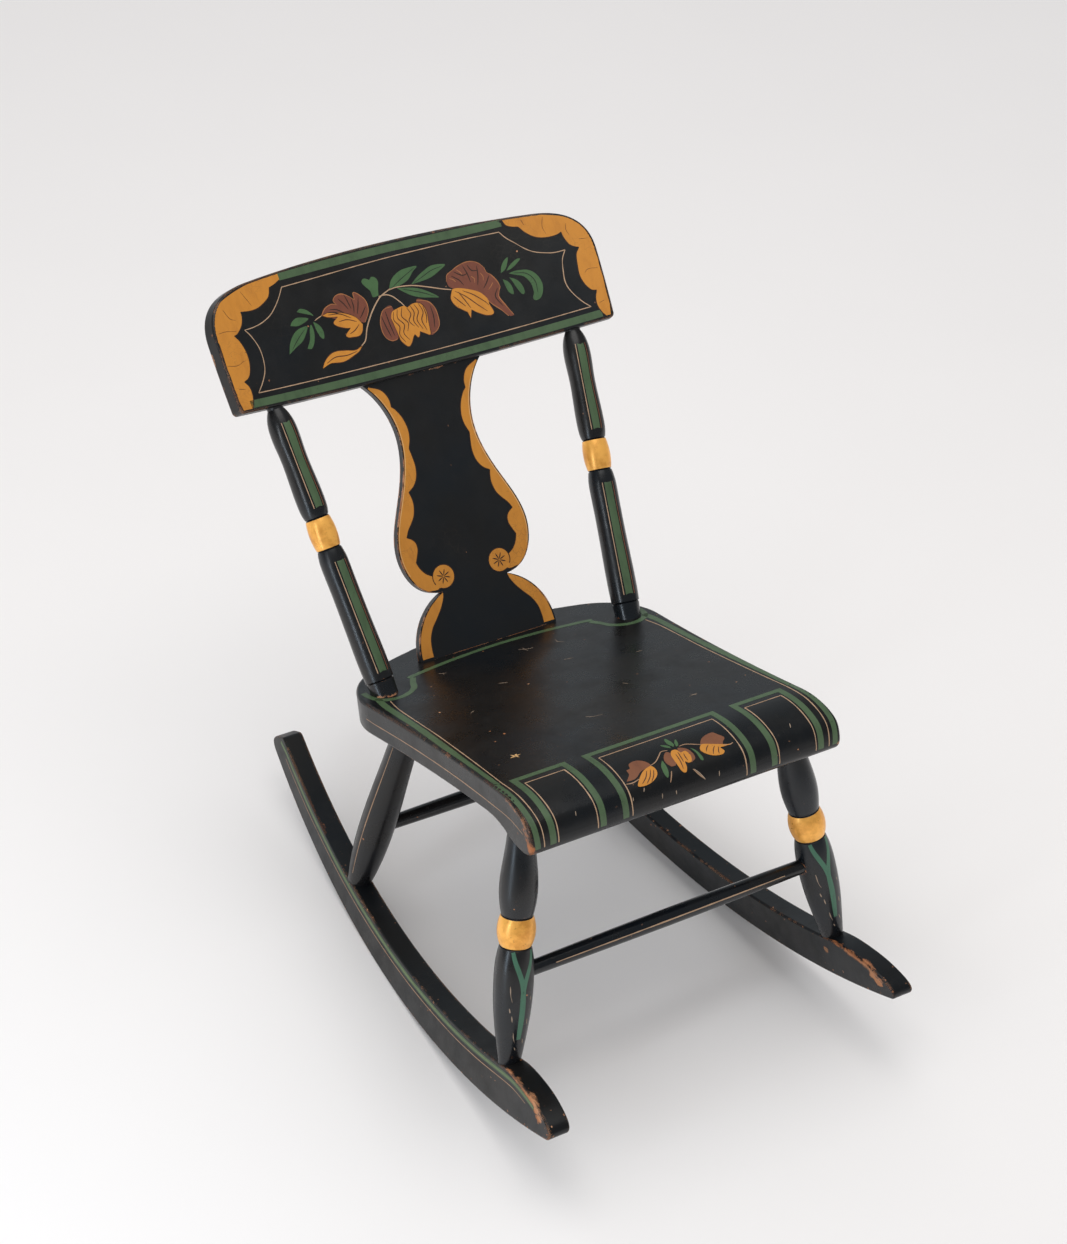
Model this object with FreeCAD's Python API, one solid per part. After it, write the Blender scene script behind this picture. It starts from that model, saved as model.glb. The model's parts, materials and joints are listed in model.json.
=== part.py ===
import FreeCAD, Part
import math
import os

from FreeCAD import Matrix, Placement, Rotation, Vector

os.makedirs("parts", exist_ok=True)

# Rocking chair with a plank seat, turned posts and legs, a fiddle splat and a hollowed crest rail.
# Millimetres. It is drawn with its seat level: X to the sitter's left, Y to the back, Z up, and
# the origin on the seat's top, in the middle of the line where the front roll begins. At the end
# it is laid back onto its rockers at the angle where it balances. Left and right are the sitter's.

# Fits
SOCKET_GAP = 0.15            # radial clearance of a tenon, tongue or peg in its hole
SOCKET_END_GAP = 1.0         # free space past the end of a blind tenon

# Seat plank
SEAT_THICKNESS = 41.0
SEAT_DEPTH = 440.0           # from the start of the roll to the middle of the back edge
SEAT_FRONT_WIDTH = 426.0
SEAT_WAIST_WIDTH = 412.0
SEAT_WAIST_Y = 165.0
SEAT_BACK_WIDTH = 422.0      # where the back corners begin
SEAT_CORNER_DEPTH = 128.0    # length of the back corners, front to back
SEAT_BACK_BOW = 30.0         # rise of the bowed back edge between the corners
SEAT_BACK_CHORD = 290.0
SEAT_EDGE_ROUND = 4.0

# Front roll of the seat
ROLL_REACH = 79.0            # from the start of the roll to its nose
ROLL_NOSE_DROP = 42.0
ROLL_DROP = 60.0             # lowest point of the roll under the seat's top
ROLL_LOW_Y = 44.0            # how far in front of the roll's start that point lies
ROLL_UNDERCUT = 36.0         # how far behind the roll's start the underside swells

# Places of the legs: their tops in from the seat's edges, their feet out and back from the tops
FRONT_LEG_SIDE_INSET = 32.0      # from the side of the seat at its front
FRONT_LEG_TOP_Y = -7.0
FRONT_LEG_SPLAY = 51.0
FRONT_LEG_RAKE = 3.0
REAR_LEG_SIDE_INSET = 46.0       # from the side of the seat at its back
REAR_LEG_BACK_INSET = 142.0      # from the middle of the back edge
REAR_LEG_SPLAY = 38.0
REAR_LEG_RAKE = 124.0

# Turning of the front legs: heights run up the leg from the rocker
LEG_FOOT_DIAMETER = 27.0
LEG_LOWER_DIAMETER = 47.0
LEG_LOWER_BELLY = 98.0
LEG_NECK_DIAMETER = 38.0
LEG_RING_BASE = 148.0
LEG_RING_HEIGHT = 36.0
LEG_RING_DIAMETER = 45.5
LEG_UPPER_DIAMETER = 45.0
LEG_UPPER_BELLY = 213.0
LEG_TOP_DIAMETER = 35.0

# Rear legs
REAR_LEG_FOOT_DIAMETER = 31.0
REAR_LEG_BELLY_DIAMETER = 45.0
REAR_LEG_BELLY = 112.0
REAR_LEG_TOP_DIAMETER = 37.0

# Tenons of the legs
LEG_SEAT_TENON_DIAMETER = 24.0
LEG_SEAT_TENON_LENGTH = 26.0
LEG_ROCKER_TENON_DIAMETER = 16.0
LEG_ROCKER_TENON_LENGTH = 34.0

# Stretchers
STRETCHER_DIAMETER = 21.0
STRETCHER_END_DIAMETER = 17.5
STRETCHER_TENON_PAST_AXIS = 4.0
FRONT_STRETCHER_DROP = 236.0     # under the seat's top
REAR_STRETCHER_DROP = 200.0

# Rockers: sawn boards with a hollow upper edge and a round underside
ROCKER_THICKNESS = 28.0
ROCKER_RADIUS = 1020.0           # underside
ROCKER_TOP_RADIUS = 1015.0
ROCKER_DROP = 400.0              # lowest point of the underside below the seat's top
ROCKER_HEIGHT = 54.0             # height of the board there
ROCKER_LOW_Y = 62.0              # where the underside is lowest
ROCKER_TOP_LOW_Y = 75.0          # where the upper edge is lowest
ROCKER_FRONT_Y = -131.0
ROCKER_SHOULDER = 110.0          # length of the rounded front end
ROCKER_REAR_Y = 683.0
ROCKER_HEEL = 44.0               # length of the rounded rear end
ROCKER_TOE = 8.0                 # length of the small rounding under both ends
ROCKER_EDGE_ROUND = 2.5

# Back posts: heights run up the post from the seat
POST_SIDE_INSET = 34.0           # from the side of the seat at its back
POST_BACK_INSET = 110.0          # from the middle of the back edge
POST_LEAN = 21.2                 # degrees back from the seat's square
POST_SPLAY = 5.8                 # degrees outward
POST_LENGTH = 372.0
POST_FOOT_DIAMETER = 33.0
POST_FOOT_HEIGHT = 15.0
POST_FOOT_FLARE = 1.0            # by which the foot's radius grows up to its groove
POST_LOWER_DIAMETER = 37.0
POST_LOWER_TOP_DIAMETER = 35.0
POST_WAIST_DIAMETER = 30.5
POST_SHOULDER = 13.0             # under the ring, where the lower part turns in
POST_RING_BASE = 190.0
POST_RING_HEIGHT = 38.0
POST_RING_DIAMETER = 35.0
POST_UPPER_DIAMETER = 35.5
POST_UPPER_BELLY = 250.0
POST_NECK_DIAMETER = 20.0
POST_NECK_FLARE = 26.0           # diameter just under the neck
POST_NECK_ROUND = 8.0            # height of the rounding from there to the crest rail
POST_SEAT_TENON_DIAMETER = 22.0
POST_CREST_TENON_DIAMETER = 11.0
POST_CREST_TENON_LENGTH = 30.0

# Grooves cut beside the rings and above the feet of the posts
GROOVE_DEPTH = 1.3
GROOVE_WIDTH = 2.4

# Crest rail: a board hollowed towards the sitter
CREST_THICKNESS = 20.0
CREST_LEAN = 25.0                # degrees back from the seat's square
CREST_RADIUS = 952.0             # of its middle surface, seen from above
CREST_WIDTH = 534.0              # at the bottom
CREST_SHOULDER_WIDTH = 542.0     # widest, at the height of the shoulders
CREST_SHOULDER_HEIGHT = 92.0
CREST_CORNER_HEIGHT = 156.0      # where the rounded corners meet the crowned top
CREST_CORNER_INSET = 68.0
CREST_HEIGHT = 169.0
CREST_LOWER_CORNER_ROUND = 6.0
CREST_EDGE_ROUND = 3.0

# Splat
SPLAT_THICKNESS = 11.0
SPLAT_BACK_INSET = 62.0          # of its front face on the seat, from the middle of the back edge
SPLAT_TOP_WIDTH = 168.0
SPLAT_WAIST_WIDTH = 105.0
SPLAT_WAIST_HEIGHT = 278.0
SPLAT_BELLY_WIDTH = 185.0
SPLAT_BELLY_HEIGHT = 134.0
SPLAT_CUSP_WIDTH = 94.0
SPLAT_CUSP_HEIGHT = 78.0
SPLAT_FOOT_WIDTH = 196.0
SPLAT_FOOT_BULGE = 15.0          # how far the foot's side bulges past its chord
SPLAT_TONGUE_THICKNESS = 7.0
SPLAT_TONGUE_LENGTH = 16.0
SPLAT_TONGUE_SHOULDER = 14.0     # how far each end of a tongue stands in from the splat's edge

# Pegs and wedges
PEG_DIAMETER = 6.0
PEG_BLIND = 4.0                  # wood left between a peg's end and the far face
CREST_PEG_HEIGHT = 15.0
CREST_PEG_DIAMETER = 4.0
ROCKER_PEG_DEPTH = 17.0          # under the rocker's upper edge
WEDGE_LENGTH = 24.0
WEDGE_THICKNESS = 3.2
WEDGE_TIP = 0.8

# Far enough to pass through the whole chair
REACH = 900.0
OVERRUN = 12.0                   # how far a blank runs into its neighbour before it is trimmed


def fillet(shape, radius, wanted):
    """Round the edges of a shape for which wanted(edge) is true."""
    return shape.makeFillet(radius, [edge for edge in shape.Edges if wanted(edge)])


def spline(points, start=None, end=None):
    """Smooth edge through points, with given directions at its ends."""
    curve = Part.BSplineCurve()
    if start and end:
        curve.interpolate(Points=points, InitialTangent=start, FinalTangent=end)
    else:
        curve.interpolate(Points=points)
    return curve.toShape()


def arc(start, middle, end):
    return Part.Arc(start, middle, end).toShape()


def face_of(edges):
    return Part.Face(Part.Wire(Part.__sortEdges__(edges)))


def dip(y, low_y, radius):
    """How far an upright circle has risen at y from its lowest point at low_y."""
    return radius - math.sqrt(radius ** 2 - (y - low_y) ** 2)


def placed_along(shape, start, end):
    """Move a shape from the Z axis onto the line from start to end."""
    turn = Rotation(Vector(0, 0, 1), end.sub(start))
    return shape.transformed(Placement(start, turn).toMatrix())


def rod(start, end, diameter, before=0.0, after=0.0):
    """Round bar on the line from start to end, made longer at its ends by before and after."""
    length = end.sub(start).Length
    bar = Part.makeCylinder(diameter / 2, length + before + after, Vector(0, 0, -before))
    return placed_along(bar, start, end)


def turned(start, end, outline, below, above):
    """Turned piece on the line from start to end.

    outline holds strokes of (height, radius) points up the piece: two points are a straight
    stroke, more are a smooth curve. The first and last radius run on by below and above.
    """
    first, last = outline[0][0], outline[-1][-1]
    low, high = first[0] - below, last[0] + above
    strokes = [[(low, 0.0), (low, first[1])], [(low, first[1]), first]] + outline
    strokes += [[last, (high, last[1])], [(high, last[1]), (high, 0.0)], [(high, 0.0), (low, 0.0)]]
    edges = []
    for stroke in strokes:
        points = [Vector(radius, 0, height) for height, radius in stroke]
        if len(points) > 2:
            edges.append(spline(points))
        elif points[0] != points[1]:
            edges.append(Part.makeLine(*points))
    blank = Part.Face(Part.Wire(edges)).revolve(Vector(), Vector(0, 0, 1), 360)
    return placed_along(blank, start, end)


def groove(height, radius):
    """Stroke of a groove cut upward from height on a cylinder of that radius."""
    half = GROOVE_WIDTH / 2
    return [[(height, radius), (height + half, radius - GROOVE_DEPTH)],
            [(height + half, radius - GROOVE_DEPTH), (height + GROOVE_WIDTH, radius)]]


def barrel(base, height, end_radius, radius):
    """Stroke of a barrel ring."""
    quarter = height / 4
    shoulder = end_radius + 0.76 * (radius - end_radius)
    return [(base, end_radius), (base + quarter, shoulder), (base + 2 * quarter, radius),
            (base + 3 * quarter, shoulder), (base + height, end_radius)]


def mirrored(shape):
    return shape.mirror(Vector(), Vector(1, 0, 0))


# Lines and places that several pieces share

def rocker_top_z(y):
    low = ROCKER_HEIGHT - ROCKER_DROP
    return low + dip(y, ROCKER_TOP_LOW_Y, ROCKER_TOP_RADIUS)


def rocker_under_z(y):
    return dip(y, ROCKER_LOW_Y, ROCKER_RADIUS) - ROCKER_DROP


def point_at_drop(start, end, drop):
    """Point of a line at a given depth under the seat's top."""
    share = (start.z + drop) / (start.z - end.z)
    return start.add(end.sub(start).multiply(share))


def leg_foot(top, splay, rake):
    """Where a leg's axis meets the hollow upper edge of its rocker."""
    foot = top.add(Vector(splay, rake, 0))
    foot.z = rocker_top_z(foot.y)
    return foot


FRONT_LEG_TOP = Vector(SEAT_FRONT_WIDTH / 2 - FRONT_LEG_SIDE_INSET, FRONT_LEG_TOP_Y, -SEAT_THICKNESS)
FRONT_LEG_FOOT = leg_foot(FRONT_LEG_TOP, FRONT_LEG_SPLAY, FRONT_LEG_RAKE)
REAR_LEG_TOP = Vector(SEAT_BACK_WIDTH / 2 - REAR_LEG_SIDE_INSET, SEAT_DEPTH - REAR_LEG_BACK_INSET,
                      -SEAT_THICKNESS)
REAR_LEG_FOOT = leg_foot(REAR_LEG_TOP, REAR_LEG_SPLAY, REAR_LEG_RAKE)

POST_FOOT = Vector(SEAT_BACK_WIDTH / 2 - POST_SIDE_INSET, SEAT_DEPTH - POST_BACK_INSET, 0)
POST_RISE = Vector(math.tan(math.radians(POST_SPLAY)), math.tan(math.radians(POST_LEAN)), 1).normalize()
POST_TOP = POST_FOOT.add(Vector(POST_RISE).multiply(POST_LENGTH))

CREST_UP = Vector(0, math.sin(math.radians(CREST_LEAN)), math.cos(math.radians(CREST_LEAN)))
CREST_BACK = Vector(0, math.cos(math.radians(CREST_LEAN)), -math.sin(math.radians(CREST_LEAN)))
CREST_FOOT = POST_TOP.add(Vector(CREST_BACK).multiply(dip(POST_TOP.x, 0, CREST_RADIUS)))
CREST_FOOT.x = 0.0

# The splat stands in the middle of the crest's thickness and runs straight down to the seat
SPLAT_HEAD = CREST_FOOT.sub(Vector(CREST_BACK).multiply(SPLAT_THICKNESS / 2))
SPLAT_FOOT = Vector(0, SEAT_DEPTH - SPLAT_BACK_INSET, 0)
SPLAT_HEIGHT = SPLAT_HEAD.sub(SPLAT_FOOT).Length
SPLAT_UP = SPLAT_HEAD.sub(SPLAT_FOOT).normalize()
SPLAT_BACK = Vector(0, SPLAT_UP.z, -SPLAT_UP.y)


def leaning(origin, up, back):
    """Matrix that leans a board drawn upright, with Y running back through it and Z up."""
    return Matrix(1, back.x, up.x, origin.x,
                  0, back.y, up.y, origin.y,
                  0, back.z, up.z, origin.z,
                  0, 0, 0, 1)


CREST_LAY = leaning(CREST_FOOT, CREST_UP, CREST_BACK)
SPLAT_LAY = leaning(SPLAT_FOOT, SPLAT_UP, SPLAT_BACK)


def rocker_across():
    """Unit vector square to the left rocker's faces: both legs stand in its middle plane."""
    along = REAR_LEG_FOOT.sub(FRONT_LEG_FOOT)
    return along.cross(FRONT_LEG_TOP.sub(FRONT_LEG_FOOT)).normalize()


def leg_tenons(top, foot):
    """Tenons of a leg into the seat and into its rocker."""
    into_seat = rod(foot, top, LEG_SEAT_TENON_DIAMETER, -OVERRUN, LEG_SEAT_TENON_LENGTH)
    into_rocker = rod(top, foot, LEG_ROCKER_TENON_DIAMETER, -OVERRUN, LEG_ROCKER_TENON_LENGTH)
    return into_seat, into_rocker


def leg_sockets(top, foot):
    """What the seat and the rocker lose to the tenons of a leg."""
    room = 2 * SOCKET_GAP
    seat_length = LEG_SEAT_TENON_LENGTH + SOCKET_END_GAP
    rocker_length = LEG_ROCKER_TENON_LENGTH + SOCKET_END_GAP
    in_seat = rod(foot, top, LEG_SEAT_TENON_DIAMETER + room, -OVERRUN, seat_length)
    in_rocker = rod(top, foot, LEG_ROCKER_TENON_DIAMETER + room, -OVERRUN, rocker_length)
    return in_seat, in_rocker


def post_sockets():
    """What the seat and the crest rail lose to the tenons of a post."""
    room = 2 * SOCKET_GAP
    in_seat = rod(POST_TOP, POST_FOOT, POST_SEAT_TENON_DIAMETER + room, -OVERRUN, 3 * SEAT_THICKNESS)
    crest_length = POST_CREST_TENON_LENGTH + SOCKET_END_GAP
    in_crest = rod(POST_FOOT, POST_TOP, POST_CREST_TENON_DIAMETER + room, -OVERRUN, crest_length)
    return in_seat, in_crest


def splat_tongue(at_top, room=0.0):
    """Tongue at one end of the splat, or its mortise when room is given."""
    width = (SPLAT_TOP_WIDTH if at_top else SPLAT_FOOT_WIDTH) - 2 * SPLAT_TONGUE_SHOULDER
    end_room = SOCKET_END_GAP if room else 0.0
    length = OVERRUN + SPLAT_TONGUE_LENGTH + end_room
    base = SPLAT_HEIGHT - OVERRUN if at_top else OVERRUN - length
    depth = (SPLAT_THICKNESS - SPLAT_TONGUE_THICKNESS) / 2
    corner = Vector(-width / 2 - room, depth - room, base)
    block = Part.makeBox(width + 2 * room, SPLAT_TONGUE_THICKNESS + 2 * room, length, corner)
    return block.transformed(SPLAT_LAY)


def stretcher_line(top, foot, drop):
    """Ends of a stretcher, a little past the axes of the two legs that hold it."""
    end = point_at_drop(top, foot, drop)
    end.x += STRETCHER_TENON_PAST_AXIS
    return Vector(-end.x, end.y, end.z), end


# Seat

def seat_plan():
    """Outline of the seat from above, as a tall prism."""
    front = -ROLL_REACH - OVERRUN
    corner_y = SEAT_DEPTH - SEAT_CORNER_DEPTH
    bow_y = SEAT_DEPTH - SEAT_BACK_BOW
    half_chord = SEAT_BACK_CHORD / 2
    half_back = SEAT_BACK_WIDTH / 2
    turn_x = half_chord + 0.74 * (half_back - half_chord)
    turn_y = corner_y + 0.62 * (bow_y - corner_y)
    side = arc(Vector(SEAT_FRONT_WIDTH / 2, front), Vector(SEAT_WAIST_WIDTH / 2, SEAT_WAIST_Y),
               Vector(half_back, corner_y))
    corner = arc(Vector(half_back, corner_y), Vector(turn_x, turn_y), Vector(half_chord, bow_y))
    back = arc(Vector(half_chord, bow_y), Vector(0, SEAT_DEPTH), Vector(-half_chord, bow_y))
    nose = Part.makeLine(Vector(SEAT_FRONT_WIDTH / 2, front), Vector(-SEAT_FRONT_WIDTH / 2, front))
    outline = face_of([side, corner, back, mirrored(corner), mirrored(side), nose])
    outline.translate(Vector(0, 0, -REACH / 2))
    return outline.extrude(Vector(0, 0, REACH))


def seat_section():
    """Side view of the seat with its front roll, as a wide prism."""
    def at(y, z):
        return Vector(-REACH / 2, y, z)
    behind = SEAT_DEPTH + OVERRUN
    nose = at(-ROLL_REACH, -ROLL_NOSE_DROP)
    over = spline([at(0, 0), at(-0.52 * ROLL_REACH, -0.09 * ROLL_NOSE_DROP),
                   at(-0.85 * ROLL_REACH, -0.36 * ROLL_NOSE_DROP), nose],
                  Vector(0, -1, 0), Vector(0, 0, -1))
    under = spline([nose, at(-ROLL_LOW_Y, -ROLL_DROP), at(ROLL_UNDERCUT, -SEAT_THICKNESS)],
                   Vector(0, 0, -1), Vector(0, 1, 0))
    bottom = Part.makeLine(at(ROLL_UNDERCUT, -SEAT_THICKNESS), at(behind, -SEAT_THICKNESS))
    back = Part.makeLine(at(behind, -SEAT_THICKNESS), at(behind, 0))
    top = Part.makeLine(at(behind, 0), at(0, 0))
    return face_of([over, under, bottom, back, top]).extrude(Vector(REACH, 0, 0))


def seat_blank():
    return seat_plan().common(seat_section()).removeSplitter()


def make_seat(blank):
    def on_rim(edge):
        ends = [vertex.Point for vertex in edge.Vertexes]
        middle = edge.valueAt((edge.FirstParameter + edge.LastParameter) / 2)
        level = all(abs(point.z) < 0.01 for point in ends + [middle])
        return level and abs(middle.y) > 1
    seat = fillet(blank, SEAT_EDGE_ROUND, on_rim)
    sockets = [leg_sockets(FRONT_LEG_TOP, FRONT_LEG_FOOT)[0],
               leg_sockets(REAR_LEG_TOP, REAR_LEG_FOOT)[0], post_sockets()[0]]
    for socket in sockets:
        seat = seat.cut(socket).cut(mirrored(socket))
    return seat.cut(splat_tongue(False, SOCKET_GAP))


# Rockers

def rocker_band():
    """Side view of a rocker, as a prism wide enough for both."""
    def at(y, z):
        return Vector(-REACH / 2, y, z)

    def on_top(y):
        return at(y, rocker_top_z(y))

    def on_underside(y):
        return at(y, rocker_under_z(y))

    def slope(curve, y):
        return curve(y + 1).sub(curve(y - 1))

    shoulder = on_top(ROCKER_FRONT_Y + ROCKER_SHOULDER)
    toe = on_underside(ROCKER_FRONT_Y + ROCKER_TOE)
    nose = on_underside(ROCKER_FRONT_Y).add(Vector(0, 0, 0.7 * ROCKER_TOE))
    drop = shoulder.z - nose.z
    front = spline([shoulder, at(shoulder.y - 0.45 * ROCKER_SHOULDER, shoulder.z - 0.09 * drop),
                    at(shoulder.y - 0.82 * ROCKER_SHOULDER, shoulder.z - 0.44 * drop), nose, toe],
                   slope(on_top, shoulder.y).negative(), slope(on_underside, toe.y))
    heel = on_underside(ROCKER_REAR_Y - ROCKER_TOE)
    heel_top = on_top(ROCKER_REAR_Y - ROCKER_HEEL)
    low, high = on_underside(ROCKER_REAR_Y), on_top(ROCKER_REAR_Y - 0.7 * ROCKER_HEEL)
    end = spline([heel, at(low.y - 0.02 * ROCKER_HEEL, low.z + 0.16 * ROCKER_HEEL),
                  at(high.y + 0.045 * ROCKER_HEEL, high.z - 0.09 * ROCKER_HEEL), heel_top],
                 slope(on_underside, heel.y), slope(on_top, heel_top.y).negative())
    under = arc(toe, at(ROCKER_LOW_Y, -ROCKER_DROP), heel)
    top = arc(heel_top, at(ROCKER_TOP_LOW_Y, ROCKER_HEIGHT - ROCKER_DROP), shoulder)
    return face_of([under, end, top, front]).extrude(Vector(REACH, 0, 0))


def rocker_slab():
    """The board of the left rocker before its edges are sawn."""
    across = rocker_across()
    along = REAR_LEG_FOOT.sub(FRONT_LEG_FOOT).normalize()
    board = Part.makeBox(2 * REACH, REACH, ROCKER_THICKNESS,
                         Vector(-REACH, -REACH / 2, -ROCKER_THICKNESS / 2))
    up = across.cross(along)
    matrix = Matrix(along.x, up.x, across.x, FRONT_LEG_FOOT.x,
                    along.y, up.y, across.y, FRONT_LEG_FOOT.y,
                    along.z, up.z, across.z, FRONT_LEG_FOOT.z,
                    0, 0, 0, 1)
    return board.transformed(matrix)


def rocker_peg_line(foot):
    """Ends of a peg driven through a leg's tenon from the rocker's inner face."""
    across = rocker_across()
    outward = across if across.x > 0 else across.negative()
    toward_leg = FRONT_LEG_TOP.sub(FRONT_LEG_FOOT).normalize()
    middle = foot.sub(Vector(toward_leg).multiply(ROCKER_PEG_DEPTH))
    inner = middle.sub(Vector(outward).multiply(ROCKER_THICKNESS / 2))
    outer = middle.add(Vector(outward).multiply(ROCKER_THICKNESS / 2 - PEG_BLIND))
    return inner, outer


def make_rocker(band):
    """Left rocker."""
    board = band.common(rocker_slab()).Solids[0]
    rocker = fillet(board, ROCKER_EDGE_ROUND, lambda edge: edge.Curve.TypeId != "Part::GeomLine")
    for top, foot in ((FRONT_LEG_TOP, FRONT_LEG_FOOT), (REAR_LEG_TOP, REAR_LEG_FOOT)):
        rocker = rocker.cut(leg_sockets(top, foot)[1])
        inner, outer = rocker_peg_line(foot)
        rocker = rocker.cut(rod(inner, outer, PEG_DIAMETER + 2 * SOCKET_GAP, OVERRUN, 0))
    return rocker


def make_rocker_peg(foot):
    return rod(*rocker_peg_line(foot), PEG_DIAMETER)


# Legs and stretchers

def front_leg_outline():
    neck = LEG_NECK_DIAMETER / 2
    lower = LEG_LOWER_DIAMETER / 2
    upper = LEG_UPPER_DIAMETER / 2
    foot = LEG_FOOT_DIAMETER / 2
    top = LEG_TOP_DIAMETER / 2
    length = FRONT_LEG_TOP.sub(FRONT_LEG_FOOT).Length
    ring_top = LEG_RING_BASE + LEG_RING_HEIGHT
    upper_base = ring_top + GROOVE_WIDTH
    lower_vase = [(0, foot), (0.4 * LEG_LOWER_BELLY, foot + 0.57 * (lower - foot)),
                  (0.8 * LEG_LOWER_BELLY, foot + 0.95 * (lower - foot)), (LEG_LOWER_BELLY, lower),
                  (0.65 * LEG_RING_BASE + 0.35 * LEG_LOWER_BELLY, lower - 0.32 * (lower - neck)),
                  (LEG_RING_BASE - GROOVE_WIDTH, neck)]
    upper_vase = [(upper_base, neck), (0.5 * (upper_base + LEG_UPPER_BELLY), neck + 0.68 * (upper - neck)),
                  (LEG_UPPER_BELLY, upper),
                  (LEG_UPPER_BELLY + 0.35 * (length - LEG_UPPER_BELLY), upper - 0.42 * (upper - top)),
                  (length, top)]
    return ([lower_vase] + groove(LEG_RING_BASE - GROOVE_WIDTH, neck)
            + [barrel(LEG_RING_BASE, LEG_RING_HEIGHT, neck, LEG_RING_DIAMETER / 2)]
            + groove(ring_top, neck) + [upper_vase])


def rear_leg_outline():
    length = REAR_LEG_TOP.sub(REAR_LEG_FOOT).Length
    foot = REAR_LEG_FOOT_DIAMETER / 2
    belly = REAR_LEG_BELLY_DIAMETER / 2
    return [[(0, foot), (0.42 * REAR_LEG_BELLY, foot + 0.74 * (belly - foot)),
             (REAR_LEG_BELLY, belly),
             (0.5 * (REAR_LEG_BELLY + length), 0.4 * belly + 0.3 * REAR_LEG_TOP_DIAMETER),
             (length, REAR_LEG_TOP_DIAMETER / 2)]]


def stretcher_outline(length):
    end = STRETCHER_END_DIAMETER / 2
    middle = STRETCHER_DIAMETER / 2
    return [[(0, end), (0.2 * length, 0.45 * end + 0.55 * middle), (0.5 * length, middle),
             (0.8 * length, 0.45 * end + 0.55 * middle), (length, end)]]


def make_leg(top, foot, outline, seat, band, stretcher):
    """Left leg: turned, trimmed to the seat's underside and the rocker, with its tenons."""
    blank = turned(foot, top, outline, OVERRUN, OVERRUN)
    body = blank.cut(seat).cut(band)
    into_seat, into_rocker = leg_tenons(top, foot)
    leg = body.fuse([into_seat, into_rocker]).removeSplitter()
    inner, outer = rocker_peg_line(foot)
    leg = leg.cut(rod(inner, outer, PEG_DIAMETER + 2 * SOCKET_GAP, OVERRUN, OVERRUN))
    return leg.cut(stretcher_hole(stretcher))


def stretcher_hole(line):
    """Blind hole for a stretcher, from the leg's inner side to just past its axis."""
    start, end = line
    middle = start.add(end).multiply(0.5)
    room = STRETCHER_END_DIAMETER + 2 * SOCKET_GAP
    return rod(middle, end, room, 0, SOCKET_END_GAP)


def make_stretcher(line):
    start, end = line
    length = end.sub(start).Length
    return turned(start, end, stretcher_outline(length), 0, 0)


# Back

def post_outline():
    foot = POST_FOOT_DIAMETER / 2
    lower = POST_LOWER_DIAMETER / 2
    lower_top = POST_LOWER_TOP_DIAMETER / 2
    waist = POST_WAIST_DIAMETER / 2
    upper = POST_UPPER_DIAMETER / 2
    flare = POST_NECK_FLARE / 2
    neck = POST_NECK_DIAMETER / 2
    ring_top = POST_RING_BASE + POST_RING_HEIGHT
    foot_edge = foot + POST_FOOT_FLARE
    groove_low = POST_FOOT_HEIGHT + GROOVE_WIDTH / 2
    foot_top = POST_FOOT_HEIGHT + GROOVE_WIDTH
    shoulder = POST_RING_BASE - POST_SHOULDER
    upper_base = ring_top + GROOVE_WIDTH

    def lower_point(share, taper):
        """Point of the lower part: share of its height, taper of its narrowing."""
        return foot_top + share * (shoulder - foot_top), lower - taper * (lower - lower_top)
    foot_part = [(0, foot), (0.5 * POST_FOOT_HEIGHT, foot + 0.4 * POST_FOOT_FLARE),
                 (POST_FOOT_HEIGHT, foot_edge)]
    groove_in = [foot_part[-1], (groove_low, foot_edge - GROOVE_DEPTH)]
    groove_out = [groove_in[-1], lower_point(0, 0.4)]
    lower_part = [groove_out[-1], lower_point(0.09, 0), lower_point(0.45, 0.6), lower_point(0.875, 0.8),
                  (shoulder, lower_top - 0.13 * (lower_top - waist)),
                  (POST_RING_BASE - GROOVE_WIDTH, waist)]
    upper_part = [(upper_base, waist),
                  (0.5 * (upper_base + POST_UPPER_BELLY), waist + 0.8 * (upper - waist)),
                  (POST_UPPER_BELLY, upper),
                  (0.5 * (POST_UPPER_BELLY + POST_LENGTH), flare + 0.72 * (upper - flare)),
                  (POST_LENGTH - POST_NECK_ROUND, flare), (POST_LENGTH - POST_NECK_ROUND / 4, neck)]
    return ([foot_part, groove_in, groove_out, lower_part]
            + groove(POST_RING_BASE - GROOVE_WIDTH, waist)
            + [barrel(POST_RING_BASE, POST_RING_HEIGHT, waist, POST_RING_DIAMETER / 2)]
            + groove(ring_top, waist) + [upper_part])


def post_wedge():
    """Wedge in the foot tenon of the left post, before it is trimmed to the seat."""
    half_tip, half_base = WEDGE_TIP / 2, WEDGE_THICKNESS / 2
    width = POST_SEAT_TENON_DIAMETER * 2
    base_z = -SEAT_THICKNESS - OVERRUN
    tip_z = WEDGE_LENGTH - SEAT_THICKNESS
    slope = (half_base - half_tip) / WEDGE_LENGTH
    low = half_base + slope * OVERRUN
    corners = [Vector(0, -low, base_z), Vector(0, low, base_z), Vector(0, half_tip, tip_z),
               Vector(0, -half_tip, tip_z)]
    prism = Part.Face(Part.makePolygon(corners + corners[:1])).extrude(Vector(width, 0, 0))
    foot = POST_FOOT.sub(Vector(POST_RISE).multiply(SEAT_THICKNESS / POST_RISE.z))
    prism.translate(Vector(foot.x - width / 2, foot.y, 0))
    return prism


def post_foot_tenon():
    """Foot tenon of the left post, cut level with the seat's underside."""
    inside_post = OVERRUN / 2 - POST_LENGTH
    tenon = rod(POST_TOP, POST_FOOT, POST_SEAT_TENON_DIAMETER, inside_post, 3 * SEAT_THICKNESS)
    above_underside = Part.makeBox(2 * REACH, 2 * REACH, REACH, Vector(-REACH, -REACH, -SEAT_THICKNESS))
    return tenon.common(above_underside)


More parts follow.
